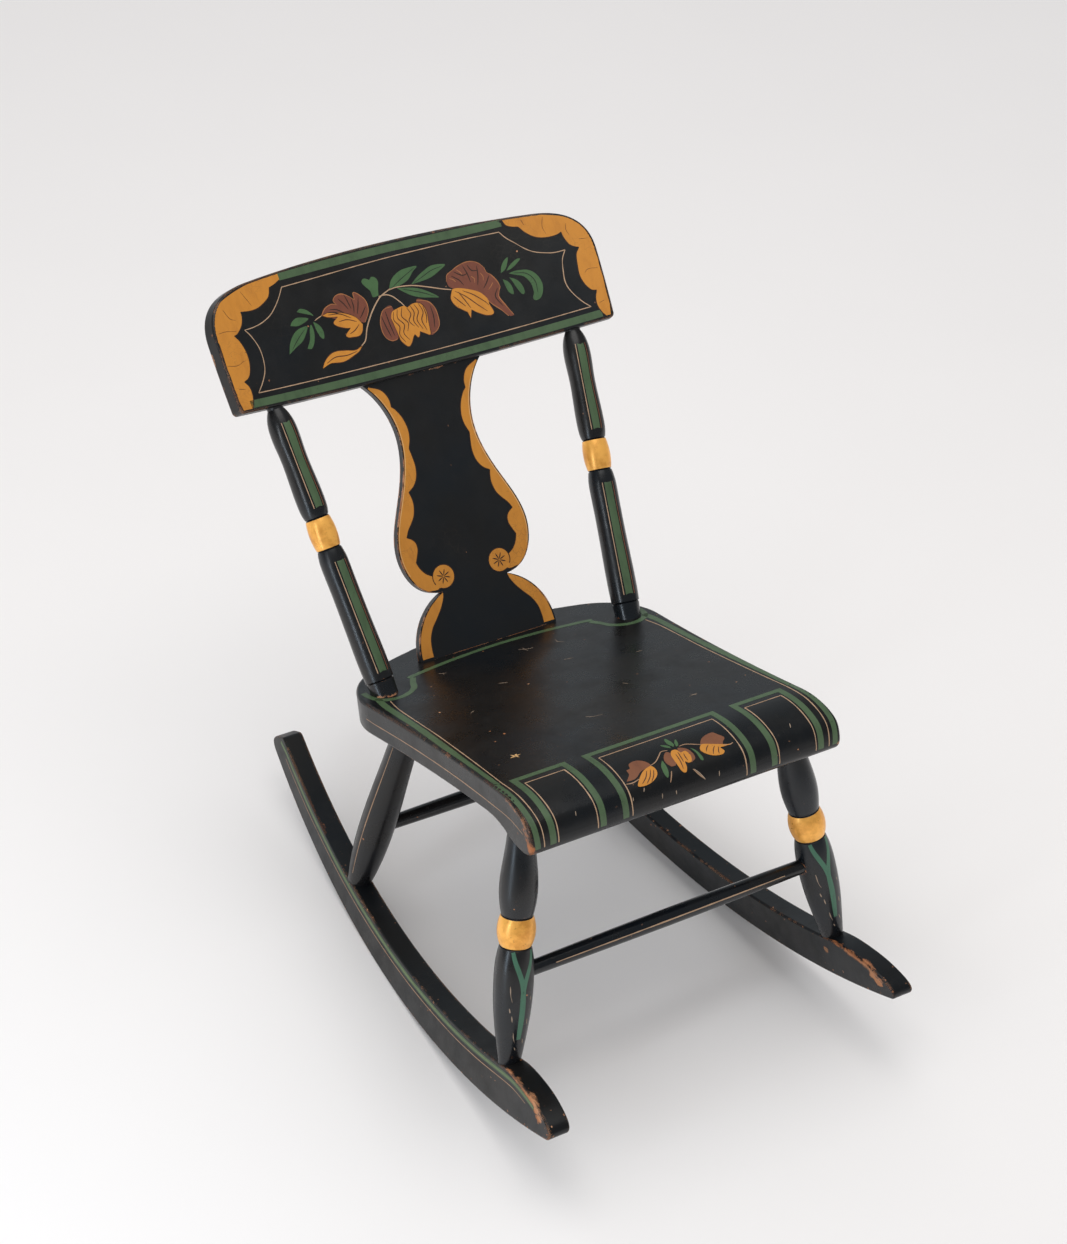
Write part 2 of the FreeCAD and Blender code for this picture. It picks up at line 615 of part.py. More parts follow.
def crest_peg_line():
    """Ends of the peg through the left post's tenon, from the crest's back face."""
    middle = POST_TOP.add(Vector(POST_RISE).multiply(CREST_PEG_HEIGHT))
    slope = math.asin(POST_TOP.x / CREST_RADIUS)
    across = Vector(CREST_BACK).multiply(math.cos(slope)).add(Vector(math.sin(slope), 0, 0))
    back = middle.add(Vector(across).multiply(CREST_THICKNESS / 2 + PEG_BLIND))
    front = middle.sub(Vector(across).multiply(CREST_THICKNESS / 2 - PEG_BLIND))
    return back, front


def make_post(seat):
    """Left back post."""
    blank = turned(POST_FOOT, POST_TOP, post_outline(), OVERRUN, OVERRUN / 2)
    body = blank.cut(seat).cut(crest_side())
    head_tenon = rod(POST_FOOT, POST_TOP, POST_CREST_TENON_DIAMETER, -OVERRUN, POST_CREST_TENON_LENGTH)
    post = body.fuse([post_foot_tenon(), head_tenon]).removeSplitter()
    back, front = crest_peg_line()
    post = post.cut(rod(back, front, CREST_PEG_DIAMETER + 2 * SOCKET_GAP, OVERRUN, OVERRUN))
    return post.cut(post_wedge())


def make_post_wedge():
    return post_wedge().common(post_foot_tenon())


def crest_side():
    """Everything above the crest rail's lower edge."""
    block = Part.makeBox(2 * REACH, 2 * REACH, REACH, Vector(-REACH, -REACH, 0))
    return block.transformed(CREST_LAY)


def crest_outline(depth):
    """Outline of the crest rail at some depth behind its foot, on lines square to the hollow."""
    def at(x, height):
        spread = (CREST_RADIUS + depth) / math.sqrt(CREST_RADIUS ** 2 - x ** 2)
        return Vector(x * spread, depth, height)
    half_foot = CREST_WIDTH / 2
    half_shoulder = CREST_SHOULDER_WIDTH / 2
    corner_x = half_shoulder - CREST_CORNER_INSET
    crown_radius = (corner_x ** 2 / (CREST_HEIGHT - CREST_CORNER_HEIGHT)) / 2
    shoulder = at(half_shoulder, CREST_SHOULDER_HEIGHT)
    turn = at(corner_x + 0.79 * CREST_CORNER_INSET,
              CREST_SHOULDER_HEIGHT + 0.64 * (CREST_CORNER_HEIGHT - CREST_SHOULDER_HEIGHT))
    end = at(corner_x, CREST_CORNER_HEIGHT)
    bulge = at(0.35 * half_foot + 0.65 * half_shoulder, CREST_SHOULDER_HEIGHT / 2)
    side = arc(at(half_foot, 0), bulge, shoulder)
    corner = spline([shoulder, turn, end], Vector(0, 0, 1), Vector(-crown_radius, 0, corner_x))
    crown = arc(end, at(0, CREST_HEIGHT), at(-corner_x, CREST_CORNER_HEIGHT))
    bottom = Part.makeLine(at(-half_foot, 0), at(half_foot, 0))
    return Part.Wire([side, corner, crown, mirrored(corner), mirrored(side), bottom])


def crest_blank():
    """Hollowed board, cut to the crest rail's outline."""
    half = CREST_THICKNESS / 2
    axis = Vector(0, -CREST_RADIUS, -OVERRUN)
    height = CREST_HEIGHT + 2 * OVERRUN
    outer = Part.makeCylinder(CREST_RADIUS + half, height, axis)
    inner = Part.makeCylinder(CREST_RADIUS - half, height, axis)
    outline = Part.makeLoft([crest_outline(-6 * half), crest_outline(3 * half)], True, True)
    board = outer.cut(inner).common(outline).Solids[0]

    def is_low_corner(edge):
        low = all(abs(vertex.Point.z) < 0.01 for vertex in edge.Vertexes)
        return low and edge.Length < 2 * CREST_THICKNESS
    return fillet(board, CREST_LOWER_CORNER_ROUND, is_low_corner)


def make_crest():
    board = crest_blank()

    def is_upper_rim(edge):
        middle = edge.valueAt((edge.FirstParameter + edge.LastParameter) / 2)
        return edge.Length > 2 * CREST_THICKNESS and middle.z > 1
    crest = fillet(board, CREST_EDGE_ROUND, is_upper_rim).transformed(CREST_LAY)
    socket = post_sockets()[1]
    back, front = crest_peg_line()
    hole = rod(back, front, CREST_PEG_DIAMETER + 2 * SOCKET_GAP, OVERRUN, 0)
    for tool in (socket, hole):
        crest = crest.cut(tool).cut(mirrored(tool))
    return crest.cut(splat_tongue(True, SOCKET_GAP))


def make_crest_peg():
    """Left peg of the crest rail, trimmed level with the rail's back face."""
    peg = rod(*crest_peg_line(), CREST_PEG_DIAMETER)
    return peg.common(crest_blank().transformed(CREST_LAY)).Solids[0]


def splat_edges():
    """Right edge of the splat seen from the front, running on below and above it."""
    def at(x, height):
        return Vector(x, 0, height)
    foot = at(SPLAT_FOOT_WIDTH / 2, 0)
    cusp = at(SPLAT_CUSP_WIDTH / 2, SPLAT_CUSP_HEIGHT)
    chord = cusp.sub(foot)
    outward = at(chord.z, -chord.x).normalize()
    bulge = foot.add(cusp).multiply(0.5).add(outward.multiply(SPLAT_FOOT_BULGE))
    belly_x, waist_x, top_x = SPLAT_BELLY_WIDTH / 2, SPLAT_WAIST_WIDTH / 2, SPLAT_TOP_WIDTH / 2
    between = (SPLAT_BELLY_HEIGHT + SPLAT_WAIST_HEIGHT) / 2
    neck = SPLAT_HEIGHT - SPLAT_WAIST_HEIGHT
    body = spline([cusp, at(0.28 * cusp.x + 0.72 * belly_x, cusp.z + 0.3 * (SPLAT_BELLY_HEIGHT - cusp.z)),
                   at(belly_x, SPLAT_BELLY_HEIGHT), at(0.44 * belly_x + 0.56 * waist_x, between),
                   at(waist_x, SPLAT_WAIST_HEIGHT),
                   at(0.66 * waist_x + 0.34 * top_x, SPLAT_WAIST_HEIGHT + 0.6 * neck),
                   at(top_x, SPLAT_HEIGHT)])
    below = Part.makeLine(at(foot.x, -OVERRUN), foot)
    above = Part.makeLine(at(top_x, SPLAT_HEIGHT), at(top_x, SPLAT_HEIGHT + OVERRUN))
    return [below, arc(foot, bulge, cusp), body, above]


def make_splat(seat):
    right = splat_edges()
    low, high = right[0].Vertexes[0].Point, right[-1].Vertexes[-1].Point
    edges = right + [mirrored(edge) for edge in right]
    edges += [Part.makeLine(end, Vector(-end.x, end.y, end.z)) for end in (low, high)]
    board = face_of(edges).extrude(Vector(0, SPLAT_THICKNESS, 0)).transformed(SPLAT_LAY)
    body = board.cut(seat).cut(crest_side())
    return body.fuse([splat_tongue(False), splat_tongue(True)]).removeSplitter()


# Assembly

def build():
    seat = seat_blank()
    band = rocker_band()
    front_line = stretcher_line(FRONT_LEG_TOP, FRONT_LEG_FOOT, FRONT_STRETCHER_DROP)
    rear_line = stretcher_line(REAR_LEG_TOP, REAR_LEG_FOOT, REAR_STRETCHER_DROP)
    left = {
        "front_leg": make_leg(FRONT_LEG_TOP, FRONT_LEG_FOOT, front_leg_outline(), seat, band, front_line),
        "rear_leg": make_leg(REAR_LEG_TOP, REAR_LEG_FOOT, rear_leg_outline(), seat, band, rear_line),
        "rocker": make_rocker(band),
        "back_post": make_post(seat),
    }
    chair = {
        "seat_plank": [make_seat(seat)],
        "crest_rail": [make_crest()],
        "back_splat": [make_splat(seat)],
        "front_stretcher": [make_stretcher(front_line)],
        "rear_stretcher": [make_stretcher(rear_line)],
    }
    for name, shape in left.items():
        chair["left_" + name] = [shape]
        chair["right_" + name] = [mirrored(shape)]
    pairs = {
        "crest_pegs": [make_crest_peg()],
        "post_wedges": [make_post_wedge()],
        "rocker_pegs": [make_rocker_peg(FRONT_LEG_FOOT), make_rocker_peg(REAR_LEG_FOOT)],
    }
    for name, shapes in pairs.items():
        chair[name] = shapes + [mirrored(shape) for shape in shapes]
    return chair


def balance_angle(chair):
    """Degrees that the chair tips back until its weight hangs under the rockers' arc centre."""
    solids = [solid for shapes in chair.values() for shape in shapes for solid in shape.Solids]
    volume = sum(shape.Volume for shape in solids)
    weight_y = sum(shape.Volume * shape.CenterOfMass.y for shape in solids) / volume
    weight_z = sum(shape.Volume * shape.CenterOfMass.z for shape in solids) / volume
    arc_centre_z = ROCKER_RADIUS - ROCKER_DROP
    return math.degrees(math.atan2(weight_y - ROCKER_LOW_Y, arc_centre_z - weight_z))


def stand_up(chair):
    """Lay the chair back on its rockers, over the middle of the floor that it covers."""
    tip = balance_angle(chair)
    arc_centre = Vector(0, ROCKER_LOW_Y, ROCKER_RADIUS - ROCKER_DROP)
    turn = Rotation(Vector(1, 0, 0), -tip)
    move = Vector(0, 0, ROCKER_RADIUS).sub(turn.multVec(arc_centre))
    placement = Placement(move, turn)
    for name, shapes in chair.items():
        chair[name] = [shape.transformed(placement.toMatrix()) for shape in shapes]
    box = FreeCAD.BoundBox()
    for shapes in chair.values():
        for shape in shapes:
            box.add(shape.optimalBoundingBox(False))
    centre = Vector(0, -box.Center.y, 0)
    for shapes in chair.values():
        for shape in shapes:
            shape.translate(centre)
    print("tips back %.3f degrees, moved %.3f %.3f" % (tip, move.y + centre.y, move.z))
    print("box %.1f x %.1f x %.1f" % (box.XLength, box.YLength, box.ZLength))


chair = build()
stand_up(chair)
for name, shapes in chair.items():
    shape = shapes[0] if len(shapes) == 1 else Part.makeCompound(shapes)
    shape.exportStep("parts/%s.step" % name)
    print(name, [round(solid.Volume) for solid in shape.Solids], shape.isValid())
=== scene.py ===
import json
import math

import bpy
from mathutils import Matrix, Vector, geometry, noise
from mathutils.bvhtree import BVHTree


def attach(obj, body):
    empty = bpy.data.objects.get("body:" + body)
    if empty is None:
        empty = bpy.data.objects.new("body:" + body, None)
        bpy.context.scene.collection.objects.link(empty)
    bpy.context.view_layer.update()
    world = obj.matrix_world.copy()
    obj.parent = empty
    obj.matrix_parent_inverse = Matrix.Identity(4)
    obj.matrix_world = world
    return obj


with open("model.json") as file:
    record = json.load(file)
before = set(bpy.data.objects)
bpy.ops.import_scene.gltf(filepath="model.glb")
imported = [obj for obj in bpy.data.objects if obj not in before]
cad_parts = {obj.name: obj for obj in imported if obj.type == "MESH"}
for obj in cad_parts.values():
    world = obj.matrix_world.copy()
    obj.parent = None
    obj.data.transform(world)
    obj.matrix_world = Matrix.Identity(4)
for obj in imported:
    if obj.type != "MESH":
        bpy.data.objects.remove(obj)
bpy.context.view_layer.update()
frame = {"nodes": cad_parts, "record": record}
nodes = frame["nodes"]

# The chair's own frame, in millimetres: X to the sitter's left, Y to the back and Z up square to
# the seat's top, from the middle of the line where its front roll begins.
seat_mount = next(m for m in frame["record"]["mounts"] if m["name"] == "seat_top")
UP = Vector(seat_mount["axis"]).normalized()
BACK = Vector((0, UP.z, -UP.y))
ORIGIN = Vector(seat_mount["pos_m"]) - 0.165 * BACK
SIDES = ((-1, "right"), (1, "left"))


def way(x, y, z):
    """Direction in the world of one in the chair's frame."""
    return Vector((x, 0, 0)) + BACK * y + UP * z


def place(x, y, z):
    return ORIGIN + way(x, y, z) * 0.001


# Materials


class Shader:
    """Builds a node material step by step."""

    def __init__(self, name):
        self.material = bpy.data.materials.new(name)
        self.material.use_nodes = True
        self.tree = self.material.node_tree
        self.tree.nodes.clear()
        self.output = self.tree.nodes.new("ShaderNodeOutputMaterial")
        self.spot = self.node("ShaderNodeTexCoord").outputs["Object"]

    def node(self, kind, settings=(), **inputs):
        made = self.tree.nodes.new(kind)
        for key, value in dict(settings).items():
            setattr(made, key, value)
        for key, value in inputs.items():
            socket = made.inputs[key.replace("_", " ")]
            self.feed(socket, value)
        return made

    def feed(self, socket, value):
        if isinstance(value, bpy.types.NodeSocket):
            self.tree.links.new(value, socket)
        else:
            socket.default_value = value

    def math(self, operation, a, b=0.0, c=0.0):
        made = self.tree.nodes.new("ShaderNodeMath")
        made.operation = operation
        for socket, value in zip(made.inputs, (a, b, c)):
            self.feed(socket, value)
        return made.outputs[0]

    def times(self, a, b):
        return self.math("MULTIPLY", a, b)

    def ramp(self, value, low, high):
        """0 below low, 1 above high, smooth between."""
        made = self.node("ShaderNodeMapRange", {"interpolation_type": "SMOOTHSTEP"}, Value=value)
        made.inputs["From Min"].default_value = low
        made.inputs["From Max"].default_value = high
        return made.outputs["Result"]

    def noise(self, scale, detail=4.0, rough=0.55, stretch=None, warp=0.0, seed=0.0):
        place_in = self.spot
        if stretch or seed:
            made = self.node("ShaderNodeMapping", Vector=place_in)
            made.inputs["Scale"].default_value = stretch or (1, 1, 1)
            made.inputs["Location"].default_value = (seed, 1.7 * seed, -0.6 * seed)
            place_in = made.outputs[0]
        return self.node("ShaderNodeTexNoise", Vector=place_in, Scale=scale, Detail=detail,
                         Roughness=rough, Distortion=warp).outputs["Fac"]

    def mix(self, factor, a, b):
        made = self.tree.nodes.new("ShaderNodeMix")
        made.data_type = "RGBA"
        self.feed(made.inputs[0], factor)
        self.feed(made.inputs[6], a)
        self.feed(made.inputs[7], b)
        return made.outputs[2]

    def blend(self, factor, a, b):
        """A number between a and b."""
        return self.math("MULTIPLY_ADD", factor, b - a, a)

    def beside(self, start, end, radius):
        """1 on the line between two places in the world, falling to 0 at the radius in metres."""
        span = end - start
        away = self.node("ShaderNodeVectorMath", {"operation": "SUBTRACT"})
        self.feed(away.inputs[0], self.spot)
        away.inputs[1].default_value = start
        along = self.node("ShaderNodeVectorMath", {"operation": "DOT_PRODUCT"})
        self.feed(along.inputs[0], away.outputs[0])
        along.inputs[1].default_value = span / span.length_squared
        share = self.math("MINIMUM", self.math("MAXIMUM", along.outputs["Value"], 0.0), 1.0)
        foot = self.node("ShaderNodeVectorMath", {"operation": "SCALE"})
        foot.inputs[0].default_value = span
        self.feed(foot.inputs["Scale"], share)
        gap = self.node("ShaderNodeVectorMath", {"operation": "DISTANCE"})
        self.feed(gap.inputs[0], away.outputs[0])
        self.feed(gap.inputs[1], foot.outputs[0])
        return self.ramp(gap.outputs["Value"], radius, 0.0)

    def finish(self, color, roughness, height=None, bump=0.2, depth=0.0004, **settings):
        principled = self.node("ShaderNodeBsdfPrincipled")
        self.feed(principled.inputs["Base Color"], color)
        self.feed(principled.inputs["Roughness"], roughness)
        for key, value in settings.items():
            principled.inputs[key.replace("_", " ")].default_value = value
        if height is not None:
            made = self.node("ShaderNodeBump", Height=height, Strength=bump, Distance=depth)
            self.tree.links.new(made.outputs[0], principled.inputs["Normal"])
        self.tree.links.new(principled.outputs[0], self.output.inputs["Surface"])
        return self.material


BLACK = (0.0040, 0.0043, 0.0045, 1)
BLACK_WARM = (0.0085, 0.0066, 0.0052, 1)
BLACK_COOL = (0.0034, 0.0062, 0.0100, 1)
BARE = (0.36, 0.125, 0.042, 1)
BARE_PALE = (0.56, 0.29, 0.15, 1)


def crackle(shader, scale, seed):
    """Fine cracks in old paint, which come and go: 1 in a crack."""
    warped = shader.node("ShaderNodeVectorMath", {"operation": "MULTIPLY_ADD"})
    wander = shader.node("ShaderNodeTexNoise", Vector=shader.spot, Scale=scale * 0.6, Detail=2.0)
    shader.feed(warped.inputs[0], wander.outputs["Color"])
    warped.inputs[1].default_value = (0.012, 0.012, 0.012)
    shader.feed(warped.inputs[2], shader.spot)
    cells = shader.node("ShaderNodeTexVoronoi", {"feature": "DISTANCE_TO_EDGE"}, Vector=warped.outputs[0],
                        Scale=scale, Randomness=1.0)
    line = shader.ramp(cells.outputs["Distance"], 0.035, 0.0)
    patches = shader.ramp(shader.noise(9.0, 3.0, seed=seed), 0.50, 0.66)
    return shader.times(line, patches)


def edge(shader, reach):
    """1 on the convex edges of the wood, 0 on its faces."""
    depth = shader.node("ShaderNodeAmbientOcclusion", {"inside": True, "only_local": True, "samples": 6},
                        Distance=reach)
    return shader.ramp(depth.outputs["AO"], 0.90, 0.60)


def specks(shader, scale, size, share, seed):
    """Small scattered chips: 1 in a chip."""
    shifted = shader.node("ShaderNodeMapping", Vector=shader.spot)
    shifted.inputs["Location"].default_value = (seed, -seed, 2 * seed)
    ragged = shader.node("ShaderNodeVectorMath", {"operation": "MULTIPLY_ADD"})
    shader.feed(ragged.inputs[0], shader.node("ShaderNodeTexNoise", Vector=shader.spot, Scale=420.0,
                                              Detail=2.0).outputs["Color"])
    ragged.inputs[1].default_value = (0.0035, 0.0035, 0.0035)
    shader.feed(ragged.inputs[2], shifted.outputs[0])
    cells = shader.node("ShaderNodeTexVoronoi", Vector=ragged.outputs[0], Scale=scale, Randomness=1.0)
    picked = shader.node("ShaderNodeSeparateColor")
    shader.feed(picked.inputs[0], cells.outputs["Color"])
    spread = shader.times(picked.outputs[1], size)
    dot = shader.ramp(shader.math("SUBTRACT", cells.outputs["Distance"], spread), 0.03, 0.0)
    return shader.times(dot, shader.ramp(picked.outputs[0], 1.0 - share, 1.01 - share))


def black_paint(name, seed, cool=0.3, shine=0.34, chips=0.5, edges=0.5, worn=(), joints=(), bump=0.22,
                gloss=0.5):
    """Old black paint over orange-brown wood.

    cool tints it blue-black or brown-black; above 0.7 the blue-black is partly the paint's own tone and
    partly painted reflection, the bluish cast of the turned parts' window highlights put into the colour.
    chips and edges say how much wood shows through in spots and along edges; worn lists (start, end, radius,
    amount) of lines where it is rubbed away;
    joints lists (start, end, radius) of lines along hidden joints, whose edges keep their paint.
    """
    s = Shader(name)
    broad = s.noise(7.0, 5.0, 0.6, seed=seed)
    brushed = s.noise(60.0, 4.0, 0.6, stretch=(1.0, 1.0, 0.25), seed=seed + 3)
    color = s.mix(s.ramp(broad, 0.35, 0.70), BLACK_WARM, BLACK_COOL)
    # Where cool is above 0.7 (the turned parts) the colour goes to blue-black: partly the paint's own cool
    # tone, partly painted reflection of the bluish window light in their highlights.
    color = s.mix(0.55 - 0.4 * cool, color, BLACK_COOL if cool > 0.7 else BLACK)
    color = s.mix(s.times(s.ramp(brushed, 0.5, 0.8), 0.35), color, (0.012, 0.012, 0.0115, 1))
    cracks = crackle(s, 95.0, seed)
    color = s.mix(s.times(cracks, 0.45), color, (0.024, 0.018, 0.013, 1))
    wide = s.ramp(s.noise(11.0, 3.0, 0.6, seed=seed + 7), 0.38, 0.62)
    spots = s.times(specks(s, 105.0, 0.14, 0.06 + 0.12 * chips, seed), wide)
    rim_edge = edge(s, 0.004)
    near_edge = edge(s, 0.011)
    for start, end, radius in joints:
        kept = s.ramp(s.beside(start, end, radius), 0.35, 0.05)
        rim_edge = s.times(rim_edge, kept)
        near_edge = s.times(near_edge, kept)
    flecks = s.times(specks(s, 150.0, 0.22, 0.50 * chips, seed + 1), near_edge)
    ragged = s.math("MULTIPLY_ADD", s.noise(75.0, 5.0, 0.75, seed=seed + 11), 0.9,
                    s.times(s.noise(9.0, 2.0, seed=seed + 13), 0.8))
    rim = s.ramp(s.math("MULTIPLY_ADD", rim_edge, 0.55, ragged), 1.52 - 0.30 * edges, 1.57 - 0.30 * edges)
    wood = s.math("MAXIMUM", s.math("MAXIMUM", spots, flecks), rim)
    for start, end, radius, amount in worn:
        close = s.beside(start, end, radius)
        scuff = s.math("ADD", s.times(close, amount),
                       s.times(s.noise(55.0, 6.0, 0.78, stretch=(1.6, 0.55, 1.0), seed=seed + 17), 1.0))
        scuff = s.math("ADD", scuff, s.times(near_edge, 0.14))
        wood = s.math("MAXIMUM", wood, s.times(s.ramp(scuff, 0.98, 1.04),
                                              s.ramp(close, 0.02, 0.25)))
    grain = s.noise(35.0, 4.0, 0.6, stretch=(1.0, 0.2, 1.0), seed=seed + 19)
    timber = s.mix(s.ramp(grain, 0.35, 0.7), BARE, BARE_PALE)
    color = s.mix(wood, color, timber)
    dull = s.noise(23.0, 5.0, 0.65, seed=seed + 23)
    roughness = s.blend(s.ramp(dull, 0.3, 0.75), shine - 0.06, shine + 0.12)
    roughness = s.math("MAXIMUM", roughness, s.times(wood, 0.62))
    peel = s.noise(300.0, 3.0, 0.6, stretch=(0.35, 1.0, 1.0), seed=seed + 29)
    height = s.math("ADD", s.times(peel, 0.55), s.times(brushed, 0.5))
    height = s.math("SUBTRACT", height, s.times(cracks, 0.7))
    height = s.math("SUBTRACT", height, s.times(wood, 0.9))
    return s.finish(color, roughness, height, bump, Specular_IOR_Level=gloss)


def figure_paint(name, color, dark, seed, worn=0.5, shine=0.38, streaks=0.5):
    """Thin coloured paint on the black: streaked by the brush, worn through in spots."""
    color, dark = (*color, 1), (*dark, 1)
    s = Shader(name)
    brush = s.noise(85.0, 4.0, 0.65, stretch=(1.0, 0.35, 0.35), seed=seed)
    tone = s.times(s.ramp(brush, 0.40, 0.80), streaks)
    shade = s.mix(tone, color, dark)
    broad = s.ramp(s.noise(16.0, 4.0, 0.6, seed=seed + 2), 0.45, 0.75)
    shade = s.mix(s.times(broad, 0.4 * streaks), shade, dark)
    gaps = s.ramp(s.math("ADD", s.noise(330.0, 3.0, 0.7, seed=seed + 4),
                         s.times(s.noise(21.0, 3.0, 0.6, seed=seed + 6), 0.45)),
                  1.00 - 0.09 * worn, 1.05 - 0.09 * worn)
    cracks = crackle(s, 110.0, seed + 8)
    through = s.math("MAXIMUM", gaps, s.times(cracks, 0.35))
    shade = s.mix(through, shade, (0.018, 0.016, 0.014, 1))
    dull = s.noise(30.0, 4.0, 0.6, seed=seed + 9)
    roughness = s.blend(dull, shine - 0.05, shine + 0.12)
    height = s.math("SUBTRACT", s.times(brush, 0.6), s.times(through, 0.8))
    return s.finish(shade, roughness, height, 0.25, Specular_IOR_Level=0.45)


def gold_paint(name, seed):
    """Bronze-powder paint of the turned rings: warm, satin, darker where it is rubbed."""
    s = Shader(name)
    cloud = s.noise(48.0, 5.0, 0.65, seed=seed)
    color = s.mix(s.ramp(cloud, 0.38, 0.72), (1.0, 0.49, 0.095, 1), (0.68, 0.28, 0.04, 1))
    specks = s.ramp(s.noise(260.0, 3.0, 0.7, seed=seed + 2), 0.66, 0.74)
    color = s.mix(s.times(specks, 0.55), color, (0.10, 0.045, 0.012, 1))
    roughness = s.blend(s.noise(70.0, 4.0, 0.6, seed=seed + 5), 0.20, 0.42)
    return s.finish(color, roughness, cloud, 0.2, Metallic=0.35, Specular_IOR_Level=0.6)


def bare_wood(name, seed):
    """End grain of a peg or wedge, darkened by age."""
    s = Shader(name)
    grain = s.noise(140.0, 5.0, 0.7, stretch=(1.0, 0.35, 1.0), warp=0.6, seed=seed)
    color = s.mix(s.ramp(grain, 0.35, 0.7), (0.30, 0.150, 0.070, 1), (0.15, 0.066, 0.028, 1))
    pores = s.ramp(s.noise(420.0, 2.0, seed=seed + 1), 0.62, 0.72)
    color = s.mix(s.times(pores, 0.7), color, (0.06, 0.028, 0.014, 1))
    return s.finish(color, s.blend(grain, 0.50, 0.75), grain, 0.35)


seat_worn = [
    (place(-211, -78, -52), place(-211, -64, -18), 0.018, 0.50),
    (place(-211, -62, -16), place(-211, -20, -3), 0.012, 0.42),
    (place(-207, 40, -2), place(-198, 230, -2), 0.012, 0.36),
    (place(209, -78, -50), place(209, -40, -8), 0.010, 0.42),
    (place(-150, 57, 0), place(-146, 60, 0), 0.009, 0.55)]
seat_paint = black_paint("seat_paint", 1.0, cool=0.25, shine=0.29, chips=0.7, edges=0.70, worn=seat_worn,
    gloss=0.36)
crest_worn = [
    (place(-265, 451, 340), place(-272, 490, 420), 0.007, 0.40),
    (place(-262, 446, 337), place(-240, 455, 337), 0.012, 0.42),
    (place(262, 451, 340), place(272, 490, 420), 0.006, 0.36)]
crest_joints = [(place(side * 211, 462, 340), place(side * 217, 482, 392), 0.022) for side in (-1, 1)]
crest_joints.append((place(-90, 478, 338), place(90, 478, 338), 0.026))
crest_paint = black_paint("crest_paint", 4.0, cool=0.3, shine=0.36, chips=0.45, edges=0.95,
    worn=crest_worn, joints=crest_joints)
splat_paint = black_paint("splat_paint", 7.0, cool=0.6, shine=0.40, chips=0.12, edges=0.35,
                          joints=[(place(-90, 378, 0), place(90, 378, 0), 0.016)])
# The turned parts take cool=1.0: blue-black that is partly painted reflection of bluish window light.
post_paint = black_paint("post_paint", 11.0, cool=1.0, shine=0.26, chips=0.15, edges=0.15, bump=0.14,
    joints=[(place(side * 177, 330, -4), place(side * 178, 333, 6), 0.020) for side in (-1, 1)])
leg_paint = black_paint("leg_paint", 14.0, cool=1.0, shine=0.28, chips=0.5, edges=0.2, bump=0.16)
rear_leg_paint = black_paint("rear_leg_paint", 17.0, cool=1.0, shine=0.30, chips=0.2, edges=0.1,
    bump=0.14, gloss=0.4)
stretcher_paint = black_paint("stretcher_paint", 19.0, cool=0.8, shine=0.22, chips=0.15, edges=0.0, bump=0.14)
rocker_worn = []
for side, out in ((-1, 14), (1, -13)):
    corner = [place(side * (232 + shift + out), y, z) for y, z, shift in
              ((-12, -339, 0), (-48, -344, 2), (-82, -352, 5), (-106, -366, 8))]
    rocker_worn += [(corner[0], corner[1], 0.009, 0.44), (corner[1], corner[2], 0.012, 0.52),
                    (corner[2], corner[3], 0.020, 0.60)]
rocker_paint = black_paint("rocker_paint", 23.0, cool=0.2, shine=0.35, chips=1.0, edges=0.65,
    worn=rocker_worn, gloss=0.36)
gold = gold_paint("ring_gold", 3.0)

FINISH = {
    "seat_plank": seat_paint, "crest_rail": crest_paint, "back_splat": splat_paint,
    "front_stretcher": stretcher_paint, "rear_stretcher": stretcher_paint,
    "crest_pegs": bare_wood("peg_wood", 2.0), "post_wedges": bare_wood("wedge_wood", 5.0),
    "rocker_pegs": bare_wood("rocker_peg_wood", 8.0),
}
for side in ("left", "right"):
    FINISH[side + "_front_leg"] = leg_paint
    FINISH[side + "_rear_leg"] = rear_leg_paint
    FINISH[side + "_rocker"] = rocker_paint
    FINISH[side + "_back_post"] = post_paint
for name, finish in FINISH.items():
    nodes[name].data.materials.clear()
    nodes[name].data.materials.append(finish)


# Where things are on the wood


def mesh_tree(name):
    mesh = nodes[name].data
    return BVHTree.FromPolygons([v.co for v in mesh.vertices], [tuple(p.vertices) for p in mesh.polygons])


TREES = {name: mesh_tree(name) for name in nodes}


class Turned:
    """A turned piece on the line from foot to top, seen by (arc, height).

    Arc runs round the piece in millimetres of a nominal radius, from its front to its +X side.
    """

    def __init__(self, foot, top, radius):
        self.foot, self.axis = Vector(foot), (Vector(top) - Vector(foot)).normalized()
        front = Vector((0, -1, 0))
        self.front = (front - front.dot(self.axis) * self.axis).normalized()
        self.side = self.axis.cross(self.front)
        if self.side.x < 0:
            self.side.negate()
        self.radius = radius

    def __call__(self, around, height):
        angle = around / self.radius
        out = self.front * math.cos(angle) + self.side * math.sin(angle)
        spot = self.foot + self.axis * height + out * self.radius
        return place(*spot), -way(*out)


# Foot and top of the +X pieces
POST = (177, 330, 0), (212.072, 463.925, 345.28)
FRONT_LEG = (232, -4, -342.92), (181, -7, -41)
REAR_LEG = (203, 422, -284.84), (165, 298, -41)


def ends(piece, side):
    """Foot and top of the piece on one side of the chair."""
    return [(side * x, y, z) for x, y, z in piece]


CREST_FOOT = Vector((0, 485.606, 335.17))
CREST_LEAN = math.radians(25)
CREST_UP = Vector((0, math.sin(CREST_LEAN), math.cos(CREST_LEAN)))
CREST_BACK = Vector((0, math.cos(CREST_LEAN), -math.sin(CREST_LEAN)))
CREST_FACE = 942.0  # radius of its hollow


def on_crest(x, height):
    """Front face of the crest rail, by place across and height up its lean."""
    depth = math.sqrt(CREST_FACE ** 2 - x * x) - CREST_FACE - 10
    spot = CREST_FOOT + Vector((x, 0, 0)) + depth * CREST_BACK + height * CREST_UP
    return place(*spot), way(x / CREST_FACE, *(0.96 * CREST_BACK.yz))


